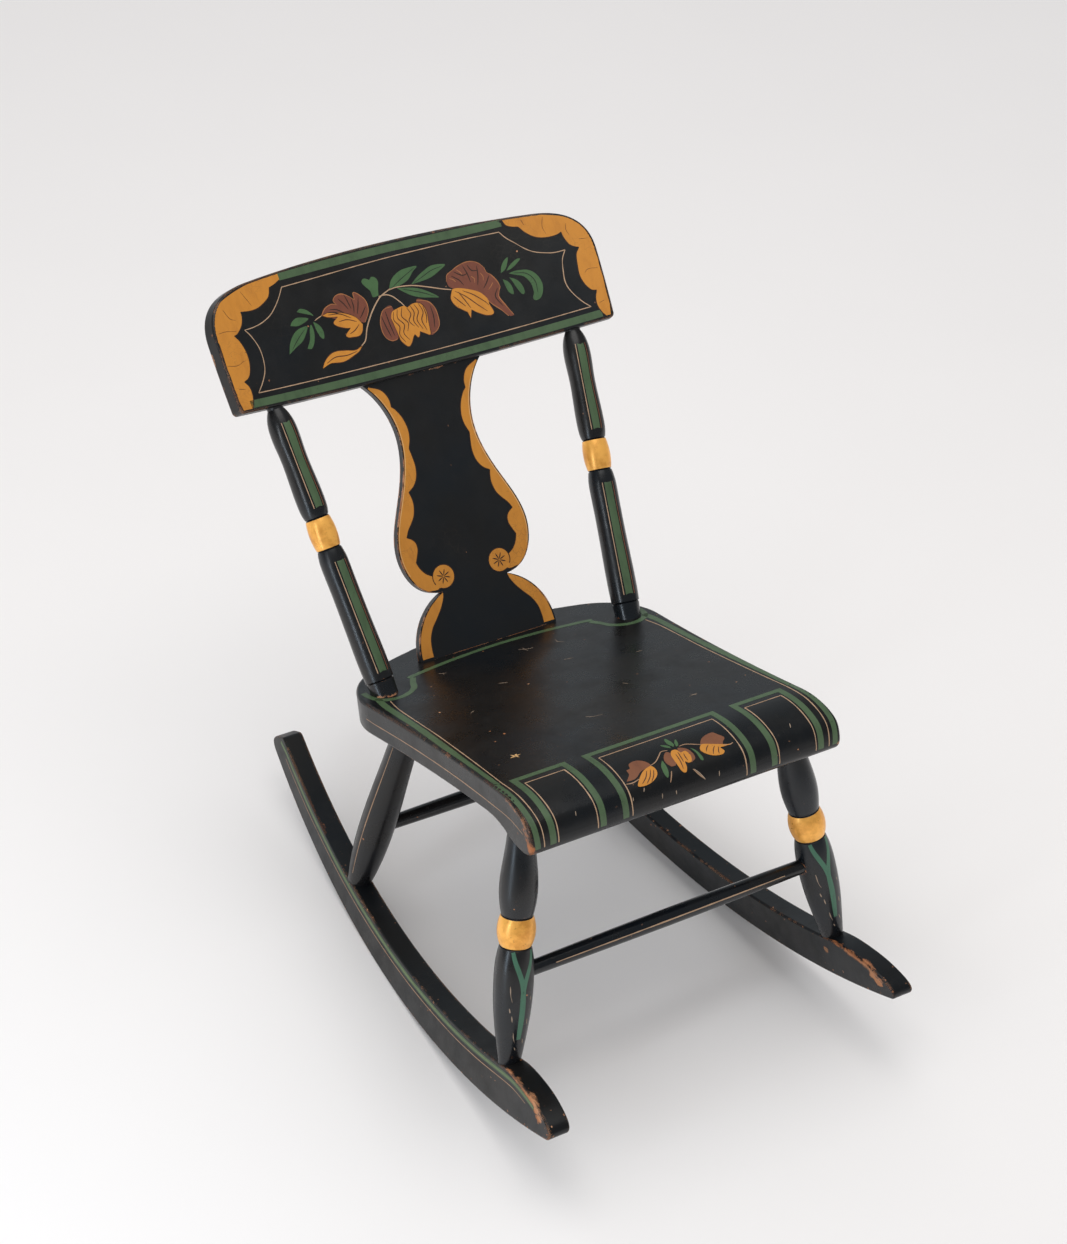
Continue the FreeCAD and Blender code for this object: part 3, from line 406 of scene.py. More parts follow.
SPLAT_FOOT = Vector((0, 378, 0))
SPLAT_HALF = 5.5  # half of its thickness
SPLAT_UP = (CREST_FOOT - SPLAT_HALF * CREST_BACK - SPLAT_FOOT).normalized()
SPLAT_BACK = Vector((0, SPLAT_UP.z, -SPLAT_UP.y))


def on_splat(x, height):
    return place(*(SPLAT_FOOT + Vector((x, 0, 0)) + height * SPLAT_UP)), way(*SPLAT_BACK)


def on_seat(x, y):
    return place(x, y, 0), way(0, 0, -1)


def roll_profile():
    """Points and outward directions round the seat's front roll, by length from its start."""
    pivot = Vector((0, -6.0, -44.0))
    found = []
    for step in range(0, 141):
        angle = math.radians(82 + step)
        out = Vector((0, math.cos(angle), math.sin(angle)))
        start = place(*(pivot + 120 * out))
        hit = TREES["seat_plank"].ray_cast(start, -way(*out), 0.12)
        if hit[0] is not None:
            rel = hit[0] - ORIGIN
            found.append(Vector((rel.dot(BACK), rel.dot(UP))) * 1000)
    lengths = [0.0]
    for a, b in zip(found, found[1:]):
        lengths.append(lengths[-1] + (b - a).length)
    begin = min(range(len(found)), key=lambda i: abs(found[i].x))
    zero = lengths[begin] + found[begin].x
    return found, [length - zero for length in lengths]


ROLL_POINTS, ROLL_LENGTHS = roll_profile()


def on_roll(x, down):
    """Front roll of the seat, by length down from its start; negative runs back onto the top."""
    if down <= 0:
        return place(x, -down, 0), way(0, 0, -1)
    i = max(i for i, length in enumerate(ROLL_LENGTHS[:-2]) if length <= down)
    a, b = ROLL_POINTS[i], ROLL_POINTS[i + 1]
    share = min(1.0, (down - ROLL_LENGTHS[i]) / (ROLL_LENGTHS[i + 1] - ROLL_LENGTHS[i]))
    spot = a.lerp(b, share)
    run = (ROLL_POINTS[min(i + 3, len(ROLL_POINTS) - 1)] - ROLL_POINTS[max(i - 2, 0)]).normalized()
    return place(x, spot.x, spot.y), way(0, -run.y, run.x)


def on_seat_side(side):
    """Side face of the seat, by place from front to back and height."""
    def at(y, z):
        return place(side * 212, y, z), way(-side, 0, 0)
    return at


LEG_LINE = Vector(FRONT_LEG[1]) - Vector(FRONT_LEG[0])
ROCKER_LINE = Vector(REAR_LEG[0]) - Vector(FRONT_LEG[0])
ACROSS = ROCKER_LINE.cross(LEG_LINE).normalized()
if ACROSS.x < 0:
    ACROSS.negate()
# Upper edge of a rocker: about a circle of this radius, with its lowest point here
ROCKER_BEND, ROCKER_MIDDLE, ROCKER_LOW = 1015, 75, -346


def rocker_top(y):
    """Height of the upper edge of a rocker, felt from above close to its outer face."""
    guess = ROCKER_LOW + ROCKER_BEND - math.sqrt(ROCKER_BEND ** 2 - (y - ROCKER_MIDDLE) ** 2)
    start, _ = on_rocker_side(1)(y, guess + 20)
    hit = TREES["left_rocker"].ray_cast(start - way(2.5, 0, 0) * 0.001, way(-ACROSS.z, 0, -ACROSS.x), 0.2)[0]
    return (hit - ORIGIN).dot(UP) * 1000 if hit else None


def on_rocker_side(side):
    """Outer face of a rocker, by place from front to back and height."""
    def at(y, z):
        share = ((y + 4) * ACROSS.y + (z + 342.92) * ACROSS.z) / ACROSS.x
        x = 232 - share + 14 / ACROSS.x
        return place(side * x, y, z), way(-side * ACROSS.x, -ACROSS.y, -ACROSS.z)
    return at


# Lines and outlines


def flow(points, step=2.5):
    """Smooth open line through points."""
    points = [Vector(p) for p in points]
    if len(points) < 3:
        points.insert(1, (points[0] + points[1]) / 2)
    run = [2 * points[0] - points[1]] + points + [2 * points[-1] - points[-2]]
    line = []
    for p0, p1, p2, p3 in zip(run, run[1:], run[2:], run[3:]):
        count = max(2, math.ceil((p2 - p1).length / step))
        for k in range(count):
            t = k / count
            line.append(0.5 * (2 * p1 + (p2 - p0) * t + (2 * p0 - 5 * p1 + 4 * p2 - p3) * t * t
                               + (3 * p1 - p0 - 3 * p2 + p3) * t ** 3))
    return line + [points[-1]]


def closed(points, step=2.5):
    """Smooth closed outline through points, without a corner."""
    points = [Vector(p) for p in points]
    run = points[-2:] + points + points[:2]
    line = flow(run, step)
    first = min(range(len(line) // 2), key=lambda i: (line[i] - points[0]).length)
    last = min(range(len(line) // 2, len(line)), key=lambda i: (line[i] - points[0]).length)
    return line[first:last]


def outline(*strokes, step=2.5):
    """Closed outline of strokes that meet in corners."""
    line = []
    for stroke in strokes:
        for spot in flow(stroke, step):
            if not line or (spot - line[-1]).length > 0.05:
                line.append(spot)
    if (line[0] - line[-1]).length < 0.05:
        line.pop()
    return line


def leaf(points, step=2.5):
    """Outline through points with a corner at the first."""
    return outline(list(points) + [points[0]], step=step)


def band(points, width, taper=1.0, step=2.5, wobble=0.0):
    """Outline of a brush line of some width; taper narrows its ends to that share."""
    line = flow(points, step)
    lengths = [0.0]
    for a, b in zip(line, line[1:]):
        lengths.append(lengths[-1] + (b - a).length)
    left, right = [], []
    for i, spot in enumerate(line):
        run = (line[min(i + 1, len(line) - 1)] - line[max(i - 1, 0)]).normalized()
        across = Vector((-run.y, run.x))
        share = lengths[i] / lengths[-1]
        half = width / 2 * (taper + (1 - taper) * math.sin(math.pi * share) ** 0.7)
        half *= 1 + wobble * noise.noise(Vector((lengths[i] * 0.11, width, spot.x * 0.02)))
        left.append(spot + across * half)
        right.append(spot - across * half)
    return left + right[::-1]


def lines(strokes, *brush):
    """Brush lines, one for each stroke."""
    return [band(stroke, *brush) for stroke in strokes]


def inside(spot, shape):
    odd = False
    for a, b in zip(shape, shape[1:] + shape[:1]):
        if (a.y > spot.y) != (b.y > spot.y):
            if spot.x < a.x + (spot.y - a.y) * (b.x - a.x) / (b.y - a.y):
                odd = not odd
    return odd


def flip(points):
    return [(-x, y) for x, y in points]


def mirror_pair(points):
    return [points, flip(points)]


def drawn_in(shape, tree, where):
    """Outline drawn in from the rounded edge of the wood wherever it runs over it."""
    if sum(a.x * b.y - b.x * a.y for a, b in zip(shape, shape[1:] + shape[:1])) < 0:
        shape = shape[::-1]
    kept = []
    for i, spot in enumerate(shape):
        run = (shape[(i + 1) % len(shape)] - shape[i - 1]).normalized()
        inner = Vector((-run.y, run.x))
        for _ in range(14):
            start, inward = where(*spot)
            inward = inward.normalized()
            hit, normal, _, _ = tree.ray_cast(start - inward * 0.02, inward, 0.05)
            if hit is not None and abs(normal.dot(inward)) > 0.992:
                break
            spot = spot + inner * 0.35
        kept.append(spot)
    return kept


def film(name, node, shapes, where, material, lift=0.16, grid=9.0, sink=0.35, flat_only=False):
    """Thin coat of paint: each outline laid on the wood of a node, a little proud of it."""
    tree = TREES[node]
    verts, faces = [], []
    if flat_only:
        shapes = [drawn_in(shape, tree, where) for shape in shapes]
    for shape in shapes:
        count = len(shape)
        spots = [Vector(p) for p in shape]
        low = Vector((min(p.x for p in shape), min(p.y for p in shape)))
        high = Vector((max(p.x for p in shape), max(p.y for p in shape)))
        rows = int((high.y - low.y) / grid)
        for row in range(rows + 1):
            for column in range(int((high.x - low.x) / grid) + 1):
                spot = Vector((low.x + grid * (column + 0.5 + 0.5 * (row % 2)), low.y + grid * (row + 0.5)))
                close = min((spot - p).length for p in shape)
                if close > 0.45 * grid and inside(spot, shape):
                    spots.append(spot)
        sides = [(i, (i + 1) % count) for i in range(count)]
        flat, _, triangles, _, _, _ = geometry.delaunay_2d_cdt(spots, sides, [], 1, 1e-4)
        base = len(verts)
        for spot in flat:
            start, inward = where(*spot)
            inward = inward.normalized()
            hit, normal, _, _ = tree.ray_cast(start - inward * 0.02, inward, 0.05)
            if hit is None:
                hit, normal, _, _ = tree.find_nearest(start)
            if normal.dot(inward) > 0:
                normal = -normal
            verts += [hit + normal * lift * 0.001, hit - normal * sink * 0.001]
        borders = {}
        for triangle in triangles:
            a, b, c = triangle
            area = (flat[b] - flat[a]).cross(flat[c] - flat[a])
            if area < 0:
                a, b, c = a, c, b
            faces.append([base + 2 * a, base + 2 * b, base + 2 * c])
            faces.append([base + 2 * c + 1, base + 2 * b + 1, base + 2 * a + 1])
            for p, q in ((a, b), (b, c), (c, a)):
                borders[p, q] = borders.get((p, q), 0) + 1
        for p, q in borders:
            if (q, p) not in borders:
                faces.append([base + 2 * q, base + 2 * p, base + 2 * p + 1, base + 2 * q + 1])
    mesh = bpy.data.meshes.new(name)
    mesh.from_pydata(verts, [], faces)
    mesh.validate()
    first = mesh.polygons[0]
    _, normal, _, _ = tree.find_nearest(first.center)
    if first.normal.dot(normal) < 0:
        mesh.flip_normals()
    for polygon in mesh.polygons:
        polygon.use_smooth = True
    mesh.set_sharp_from_angle(angle=math.radians(40))
    made = bpy.data.objects.new(name, mesh)
    bpy.context.scene.collection.objects.link(made)
    mesh.materials.append(material)
    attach(made, "root")


def painter(prefix, node, where):
    """A way to lay films on one surface of the chair."""
    def paint(name, shapes, material, **settings):
        film(prefix + "_" + name, node, shapes, where, material, **settings)
    return paint


on_crest_rail = painter("crest", "crest_rail", on_crest)
on_back_splat = painter("splat", "back_splat", on_splat)
on_seat_top = painter("seat", "seat_plank", on_seat)


# Paints of the figures
green = figure_paint("green_paint", (0.064, 0.112, 0.050), (0.028, 0.054, 0.024), 31.0, 0.7)
green_pale = figure_paint("pale_green_paint", (0.056, 0.125, 0.044), (0.028, 0.068, 0.026), 33.0, 0.5)
green_light = figure_paint("light_green_paint", (0.130, 0.180, 0.060), (0.070, 0.105, 0.036), 35.0, 0.8)
teal = figure_paint("teal_paint", (0.050, 0.145, 0.088), (0.028, 0.080, 0.050), 36.0, 0.5)
ochre = figure_paint("ochre_paint", (0.545, 0.215, 0.020), (0.39, 0.140, 0.012), 37.0, 0.45,
    streaks=0.55)
cream = figure_paint("line_paint", (0.44, 0.285, 0.175), (0.28, 0.165, 0.095), 41.0, 0.6)
cream_dark = figure_paint("dark_line_paint", (0.36, 0.215, 0.125), (0.22, 0.125, 0.07), 43.0, 0.6)
brown = figure_paint("red_brown_paint", (0.175, 0.050, 0.026), (0.105, 0.030, 0.016), 47.0, 0.4)
brown_pale = figure_paint("pale_brown_paint", (0.20, 0.070, 0.028), (0.11, 0.036, 0.018), 49.0, 0.5)
dark = figure_paint("vein_paint", (0.032, 0.014, 0.009), (0.020, 0.010, 0.007), 53.0, 0.2)
rust = figure_paint("rust_vein_paint", (0.085, 0.026, 0.009), (0.05, 0.016, 0.007), 55.0, 0.2)
rust_pale = figure_paint("rim_paint", (0.36, 0.135, 0.045), (0.20, 0.065, 0.022), 57.0, 0.6)
border = figure_paint("border_paint", (0.012, 0.014, 0.011), (0.02, 0.018, 0.012), 59.0, 0.0)
light = figure_paint("highlight_paint", (0.66, 0.40, 0.17), (0.50, 0.27, 0.09), 61.0, 0.5)
scar = figure_paint("scratch_paint", (0.34, 0.25, 0.18), (0.12, 0.08, 0.05), 63.0, 1.0, shine=0.6)


# Crest rail
top_stripe = outline([(-155, 158.5), (-100, 162), (-50, 163.7), (0, 164.2), (50, 163.4), (100, 162),
    (160, 159)], [(160, 150), (100, 151.5), (50, 153.5), (0, 154.5), (-50, 153.7), (-100, 152),
    (-155, 149.5)])
bottom_stripe = outline([(-248, 4), (0, 4), (250, 4)], [(250, 13.5), (0, 13.5), (-248, 13.5)])
on_crest_rail("green", [top_stripe, bottom_stripe], green)

left_inner = [[(-155, 151), (-163, 147), (-172, 144)], [(-172, 144), (-175, 136), (-180, 130),
    (-195, 122), (-208, 120), (-222, 121)], [(-222, 121), (-222, 115), (-226, 105), (-235, 96),
    (-241, 94)], [(-241, 94), (-235, 85), (-231, 70), (-232, 55), (-238, 42), (-247, 37)],
    [(-247, 37), (-242, 30), (-241, 20), (-244, 8), (-247, 3.5)]]
left_outer = [[(-247, 3.5), (-260, 3.5)], [(-260, 3.5), (-263, 20), (-264, 50), (-267, 70), (-267.5, 90),
    (-265, 108), (-260, 122), (-252, 132.5), (-240, 140), (-220, 147.5), (-200, 153), (-180, 157),
    (-155, 158.5)], [(-155, 158.5), (-155, 151)]]
right_inner = [[(162, 158), (165, 150), (172, 146), (180, 144)], [(180, 144), (187, 134), (198, 125),
    (212, 121), (225, 121), (231, 123)], [(231, 123), (232, 115), (236, 105), (242, 100), (247, 98)],
    [(247, 98), (241, 90), (238, 75), (237, 62), (240, 50), (246, 41), (252, 39)],
    [(252, 39), (248, 30), (247, 20), (250, 10), (254, 4)]]
right_outer = [[(254, 4), (260, 4)], [(260, 4), (264.5, 30), (266.5, 60), (267.5, 90), (266.5, 105),
    (263.5, 118), (257, 130), (245, 139), (230, 145.5), (210, 152), (190, 156.5), (162, 158)]]

corners = [outline(*left_inner, *left_outer), outline(*right_inner, *right_outer)]
on_crest_rail("corners", corners, ochre, flat_only=True)
cracked = [[(-262, 100), (-250, 101), (-236, 99)], [(-246, 128), (-240, 116), (-232, 112)],
    [(-264, 60), (-250, 58), (-238, 62)], [(-214, 146), (-208, 134), (-204, 126)],
    [(-258, 30), (-248, 28)], [(250, 108), (262, 106)], [(240, 132), (238, 124), (240, 116)],
    [(214, 148), (210, 136), (212, 126)], [(262, 66), (250, 68), (244, 64)], [(258, 24), (250, 22)],
    [(186, 152), (188, 144)]]
on_crest_rail("corner_cracks", lines(cracked, 0.55, 0.3, 1.5, 0.8), rust, lift=0.24)
on_crest_rail("corner_borders", lines(left_inner[1:] + right_inner, 1.3, 0.55, 1.5), dark, lift=0.26)

crest_lines = [[(-155, 141), (-100, 144), (-50, 146.5), (0, 148), (50, 148), (100, 147), (154, 144)],
    [(-155, 141), (-165, 127), (-180, 112), (-195, 104), (-210, 100), (-224, 98.5)],
    [(-224, 98.5), (-218, 90), (-212, 75), (-211, 60), (-214, 45), (-222, 32), (-232, 20.5)],
    [(-232, 20.5), (0, 20.8), (239, 20.5)], [(154, 144), (160, 135), (170, 125), (180, 115), (190, 108),
    (203, 103), (215, 100), (229, 99.5)], [(229, 99.5), (222, 88), (218, 70), (217, 60), (219, 50),
    (225, 38), (232, 28), (239, 20.5)]]
on_crest_rail("lines", lines(crest_lines, 1.05, 1.0, 2.5, 0.5), cream)

sprigs = [[(-145, 107), (-140, 110), (-133, 108), (-127, 103), (-124, 98), (-130, 101), (-138, 104)],
    [(-160, 92), (-155, 97), (-148, 100), (-140, 99), (-132, 96), (-140, 92), (-150, 90)],
    [(-173, 58), (-168, 70), (-160, 80), (-150, 86), (-137, 87), (-143, 77), (-150, 70), (-160, 65)],
    [(-146, 60), (-140, 59), (-134, 66), (-130, 78), (-131, 88), (-135, 82), (-139, 70)],
    [(-127, 91), (-120, 85), (-117, 76), (-119, 68), (-123, 70), (-126, 80)],
    [(140, 93), (144, 102), (150, 108), (155, 110), (152, 103), (147, 96)], [(148, 94), (155, 100),
    (165, 105), (170, 104), (163, 99), (155, 95)], [(150, 90), (160, 91), (175, 88), (184, 80), (188, 68),
    (186, 57), (180, 49), (173, 48), (171, 52), (174, 58), (174, 70), (168, 81), (158, 86)],
    [(140, 85), (146, 80), (149, 72), (148, 63), (143, 67), (141, 75)], [(149, 85), (157, 80), (162, 72),
    (163, 62), (159, 60), (155, 68), (152, 78)]]
leaves = [[(-12, 107), (-6, 118), (3, 125), (15, 129), (34, 129), (27, 123), (18, 115), (8, 111)],
    [(20, 108), (30, 115), (42, 121), (55, 125), (72, 122), (62, 116), (50, 111), (38, 109)],
    [(-1, 108), (10, 106), (25, 102), (38, 95), (51, 84), (40, 86), (25, 90), (12, 97)],
    [(-28, 104), (-26, 112), (-23, 121), (-25, 127), (-30, 129), (-34, 126), (-37, 128), (-42, 129),
    (-45, 125), (-42, 119), (-37, 112), (-36, 104)]]
stems = lines([[(-72, 48), (-64, 54), (-57, 68), (-47, 82), (-38, 92), (-28, 101), (-20, 105), (-10, 109)]],
    1.7, 0.7, 2.0)
stems += lines([[(-124, 92), (-119, 94), (-113, 96)]], 1.2, 0.6, 1.5)
stems += lines([[(-28, 103), (-18, 103), (-10, 99), (-2, 90), (2, 84)],
    [(-12, 108), (0, 109), (20, 106.5), (40, 100), (58, 93), (70, 89)]], 1.4, 0.8, 2.0)
on_crest_rail("leaves", [leaf(s, 1.5) for s in sprigs + leaves], green_pale, lift=0.2)
on_crest_rail("stems", stems, cream, lift=0.24)
leaf_veins = lines([[(-8, 109), (5, 116), (18, 122), (32, 128)], [(24, 109), (38, 114), (52, 119), (68, 121)],
    [(4, 106), (18, 100), (32, 94), (46, 86)], [(-167, 63), (-155, 74), (-142, 84)]], 0.9, 0.3, 2.0)
leaf_veins += lines([[(156, 89), (172, 84), (180, 72), (179, 56)]], 1.0, 0.3, 2.0)
on_crest_rail("leaf_veins", leaf_veins, border, lift=0.3)

blossoms = [[(-113, 96), (-105, 104), (-95, 107), (-88, 105)], [(-88, 105), (-91, 111), (-86, 116),
    (-78, 117), (-70, 113), (-62, 106)], [(-62, 106), (-61, 115), (-55, 112), (-48, 103), (-47, 93),
    (-50, 85), (-57, 76), (-62, 77)], [(-62, 77), (-85, 84), (-113, 96)]]
blossoms_right = [[(67, 100), (70, 108), (78, 112), (88, 116), (98, 118), (108, 117), (116, 112),
    (121, 105)], [(121, 105), (121, 100), (127, 94), (132, 85), (134, 77)], [(134, 77), (130, 70),
    (128, 64), (133, 52), (140.5, 37)], [(140.5, 37), (134, 38), (126, 48), (113, 62)],
    [(113, 62), (104, 74), (90, 82), (72, 90)], [(72, 90), (68, 94), (67, 100)]]
fruit_left = [(-15, 87), (-28, 85), (-36, 73), (-38, 60), (-35, 50), (-28, 45), (-20, 46), (-16, 60)]
fruit_right = [(20, 87), (33, 83), (40, 75), (42, 63), (40, 50), (33, 43), (25, 41), (20, 60)]
on_crest_rail("flowers", [outline(*blossoms, step=1.5), outline(*blossoms_right, step=1.5),
    closed(fruit_left, 1.5), closed(fruit_right, 1.5)], brown, lift=0.2)

petals_left = [[(-113, 96), (-105, 92), (-92, 90)], [(-92, 90), (-100, 84), (-95, 78), (-85, 74),
    (-79, 73)], [(-79, 73), (-88, 66), (-86, 62), (-80, 61), (-70, 61), (-64, 66), (-61, 74)],
    [(-61, 74), (-66, 83), (-75, 90), (-85, 94), (-100, 98), (-113, 96)]]
petals_right = [[(71, 89), (66, 80), (66, 74), (70, 66), (77, 60), (82, 56)],
    [(82, 56), (84, 48), (88, 58)], [(88, 58), (95, 52), (105, 46), (113, 45), (116, 49), (113, 60)],
    [(113, 60), (113, 66), (105, 77), (90, 85), (78, 89), (71, 89)]]
fruit = [[(-21, 72), (-19, 58), (-18, 48), (-17, 42), (-12, 35), (-8, 33), (-3, 37), (1, 43), (4, 46)],
    [(4, 46), (7, 41), (10, 43), (12, 48)], [(12, 48), (18, 44), (25, 41), (27, 55), (29, 70), (26, 80),
    (20, 84), (12, 84), (5, 81)], [(5, 81), (1, 84), (-8, 83), (-17, 80), (-21, 72)]]
curl = [(-134, 32), (-128, 40), (-118, 47), (-108, 49), (-95, 47.5), (-82, 45), (-71, 48.5), (-76, 43),
    (-85, 39), (-95, 35.5), (-105, 34), (-120, 36)]
on_crest_rail("petals", [outline(*petals_left, step=1.5), outline(*petals_right, step=1.5),
    outline(*fruit, step=1.5), leaf(curl, 1.5)], ochre, lift=0.24)
petal_veins = [[(-104, 95), (-88, 93), (-74, 85)], [(-92, 84), (-80, 84), (-68, 79)],
    [(-82, 66), (-74, 69), (-66, 75)], [(-126, 37), (-112, 42), (-95, 41), (-80, 43)],
    [(-15, 80), (-18, 70), (-13, 60), (-16, 50), (-11, 39)], [(-9, 82), (-12, 71), (-6, 61), (-10, 51),
    (-5, 41)], [(-2, 83), (-6, 72), (0, 62), (-4, 52)], [(4, 81), (7, 72), (2, 64), (7, 56)],
    [(9, 83), (12, 73), (8, 63), (12, 53)], [(15, 83), (18, 73), (13, 63), (17, 50)],
    [(21, 83), (24, 71), (19, 61), (22, 47)], [(26, 78), (27, 66), (24, 56)],
    [(74, 86), (86, 76), (98, 62), (108, 51)], [(70, 80), (76, 72), (82, 64)],
    [(84, 84), (96, 76), (108, 64), (112, 58)], [(78, 84), (84, 70), (88, 60)]]
petal_edges = petals_left + petals_right[:-1] + fruit[:3] + [curl[:7], curl[6:]]
petal_lines = lines(petal_veins, 1.3, 0.35, 1.5) + lines(petal_edges, 0.9, 0.5, 1.5, 0.6)
on_crest_rail("petal_veins", petal_lines, rust, lift=0.3)
flower_marks = [[(-100, 101), (-90, 99), (-80, 92)], [(-84, 112), (-78, 104), (-74, 96)],
    [(-56, 108), (-60, 97), (-64, 88)], [(-50, 95), (-56, 88), (-62, 82)], [(-33, 78), (-31, 64),
    (-28, 50)], [(-26, 83), (-25, 66), (-23, 50)], [(36, 76), (36, 62), (33, 48)],
    [(75, 106), (84, 98), (88, 90)], [(94, 115), (97, 103), (98, 92)], [(112, 110), (110, 98), (106, 86)],
    [(124, 94), (118, 86), (112, 80)], [(130, 76), (124, 66), (130, 52)], [(80, 110), (90, 103),
    (98, 104)], [(100, 114), (104, 106), (112, 104)], [(-104, 98), (-94, 96), (-86, 92)],
    [(-74, 115), (-72, 106), (-70, 96)], [(-66, 108), (-66, 98), (-68, 90)]]
on_crest_rail("flower_marks", lines(flower_marks, 1.4, 0.3, 1.5), dark, lift=0.3)
rims = [blossoms_right[0], [(121, 105), (122, 99), (127, 94), (132, 85), (134, 77)],
    [(134, 77), (130, 70), (128.5, 64), (133.5, 52), (140, 38)], fruit_left[:7],
    fruit_right[:6] + [(27, 42)], blossoms[0], blossoms[1], blossoms[2][:7], [(133, 38), (126, 48),
    (117, 58), (112, 66)], [(72, 103), (76, 101), (79, 97)], [(84, 112), (88, 108), (90, 104)],
    [(101, 99), (104, 95), (103, 90)], [(114, 100), (116, 95), (115, 90)], [(126, 84), (122, 80),
    (118, 77)]]
on_crest_rail("flower_rims", lines(rims, 1.1, 0.5, 1.5, 0.5), rust_pale, lift=0.28)


# Splat


def splat_half_width(height):
    """Half of the splat's width at a height, felt from the side."""
    spot = SPLAT_FOOT + Vector((130, 0, 0)) + height * SPLAT_UP + SPLAT_HALF * SPLAT_BACK
    hit = TREES["back_splat"].ray_cast(place(*spot), Vector((-1, 0, 0)), 0.13)[0]
    return hit.x * 1000 if hit else 80.0


inner_edge = [[(55, 101), (63, 106.5), (69, 114.5), (72.5, 123)], [(72.5, 123), (68.5, 131), (65.5, 139),
    (66, 147), (70, 152.5), (76.5, 156.5)], [(76.5, 156.5), (71.5, 165), (65, 172.5), (59, 181.5),
    (56, 193.5), (56.5, 203), (58.5, 210.5)], [(58.5, 210.5), (49.5, 216.5), (43, 226.5), (40.5, 240),
    (42, 255), (43.5, 263)], [(43.5, 263), (39, 275), (38, 288), (41.5, 302.5), (48, 314), (53, 319)],
    [(53, 319), (53, 327.5), (56.5, 337), (63, 344), (76.5, 350)]]
edge_heights = [348, 340, 330, 318, 305, 290, 275, 262, 250, 235, 220, 205, 190, 175, 160, 145, 132, 120,
    108, 98, 90, 84]
wood_edge = [(splat_half_width(h) - 1.6, h) for h in edge_heights]
body_band = inner_edge + [[(76.5, 350), wood_edge[0]], wood_edge, [wood_edge[-1], (50, 84), (55, 101)]]
foot_heights = [72, 66, 58, 50, 40, 30, 20, 10, 3]
foot_edge = [(splat_half_width(h) - 2.2, h) for h in foot_heights]
foot_band = [[(46.5, 78), (48, 71), (54, 60), (63, 48.5), (72, 38), (78, 26), (80, 14), (80.5, 3)],
    [(80.5, 3), foot_edge[-1]], foot_edge[::-1], [foot_edge[0], (46.5, 78)]]


ROSETTE_X, ROSETTE_HEIGHT = 40.5, 97


def by_rosette(radius, degrees):
    """Place on the splat at some distance and angle from the middle of the +X rosette."""
    angle = math.radians(degrees)
    return ROSETTE_X + radius * math.cos(angle), ROSETTE_HEIGHT + radius * math.sin(angle)


disc = [by_rosette(15.5, degrees) for degrees in range(0, 360, 30)]


def both(strokes):
    """Strokes of the +X side as an outline, and of its mirror image."""
    return [outline(*strokes), outline(*[flip(stroke) for stroke in strokes])]


def bands(strokes, width, taper=0.5):
    """Brush lines along strokes of the +X side and their mirror images."""
    return lines([points for stroke in strokes for points in mirror_pair(stroke)], width, taper, 1.5)


on_back_splat("bands", both(body_band) + both(foot_band), ochre, flat_only=True)
on_back_splat("rosettes", [closed(points, 1.5) for points in mirror_pair(disc)], ochre, lift=0.24)
rosette_ring = [by_rosette(15.2, degrees) for degrees in range(-30, 315, 15)]
rays = [[by_rosette(radius, degrees) for radius in (1.0, 5.0, 9.5)] for degrees in range(20, 380, 45)]
splat_borders = bands(inner_edge, 1.4) + bands([rosette_ring], 1.3, 0.8)
splat_borders += bands(rays, 1.5, 0.25) + bands([foot_band[0]], 1.2)
on_back_splat("borders", splat_borders, dark, lift=0.32)
on_back_splat("highlights", bands([[(x - 1.0, y) for x, y in wood_edge[1:-3]]], 0.9, 0.6), light, lift=0.28)


# Seat
loop = [(198.5, 345), (198, 330), (193.5, 315), (184, 306), (170, 302.5), (155, 306.5), (142.5, 317),
    (136, 332), (129, 345)]
back_line = [(134, 348), (110, 353.5), (60, 361), (0, 364.5)]
side_line = [(193, 318), (196, 290), (196, 250), (196, 205), (197.5, 150), (199.5, 100), (201.5, 50),
    (203, 5)]
side_inner = [(184.5, 300), (188, 270), (188.5, 220), (188.5, 180), (190, 130), (192, 80), (194, 40),
    (196, 5)]

back_green = band(back_line + flip(back_line)[::-1][1:], 7.0, 1.0, 4.0, 0.12)
on_seat_top("green", lines(mirror_pair(loop), 7.6, 0.95, 3.0, 0.15) + [back_green], green, grid=7.0)
on_seat_top("side_green", lines(mirror_pair(side_line), 8.6, 1.0, 4.0, 0.12), green, grid=7.0, flat_only=True)
on_seat_top("lines", lines(mirror_pair(side_inner), 1.25, 1.0, 4.0, 0.5), cream)

scratches = [[(-99, 334), (-94, 330), (-90, 329)], [(-96, 326), (-93, 331)], [(14, 330), (22, 325),
    (31, 322)], [(20, 331), (21, 318)], [(-58, 255), (-48, 249)], [(40, 262), (52, 259)],
    [(98, 66), (103, 58)], [(94, 60), (106, 62)], [(-30, 96), (-22, 90), (-10, 88)],
    [(56, 150), (60, 143)], [(120, 220), (128, 218)], [(-128, 200), (-121, 204)],
    [(70, 310), (64, 318), (66, 326)]]
star = [[(-155, 57), (-148, 58), (-141, 58.5)], [(-151, 64), (-148, 58), (-146, 52)],
    [(-149, 58), (-144, 62)]]
on_seat_top("chip", lines(star, 1.5, 0.25, 1.5, 0.8), light, lift=0.2)
on_seat_top("scratches", lines(scratches, 0.6, 0.2, 1.5, 0.8), scar)

# How far down the roll its stripes run
BOTTOM = -108


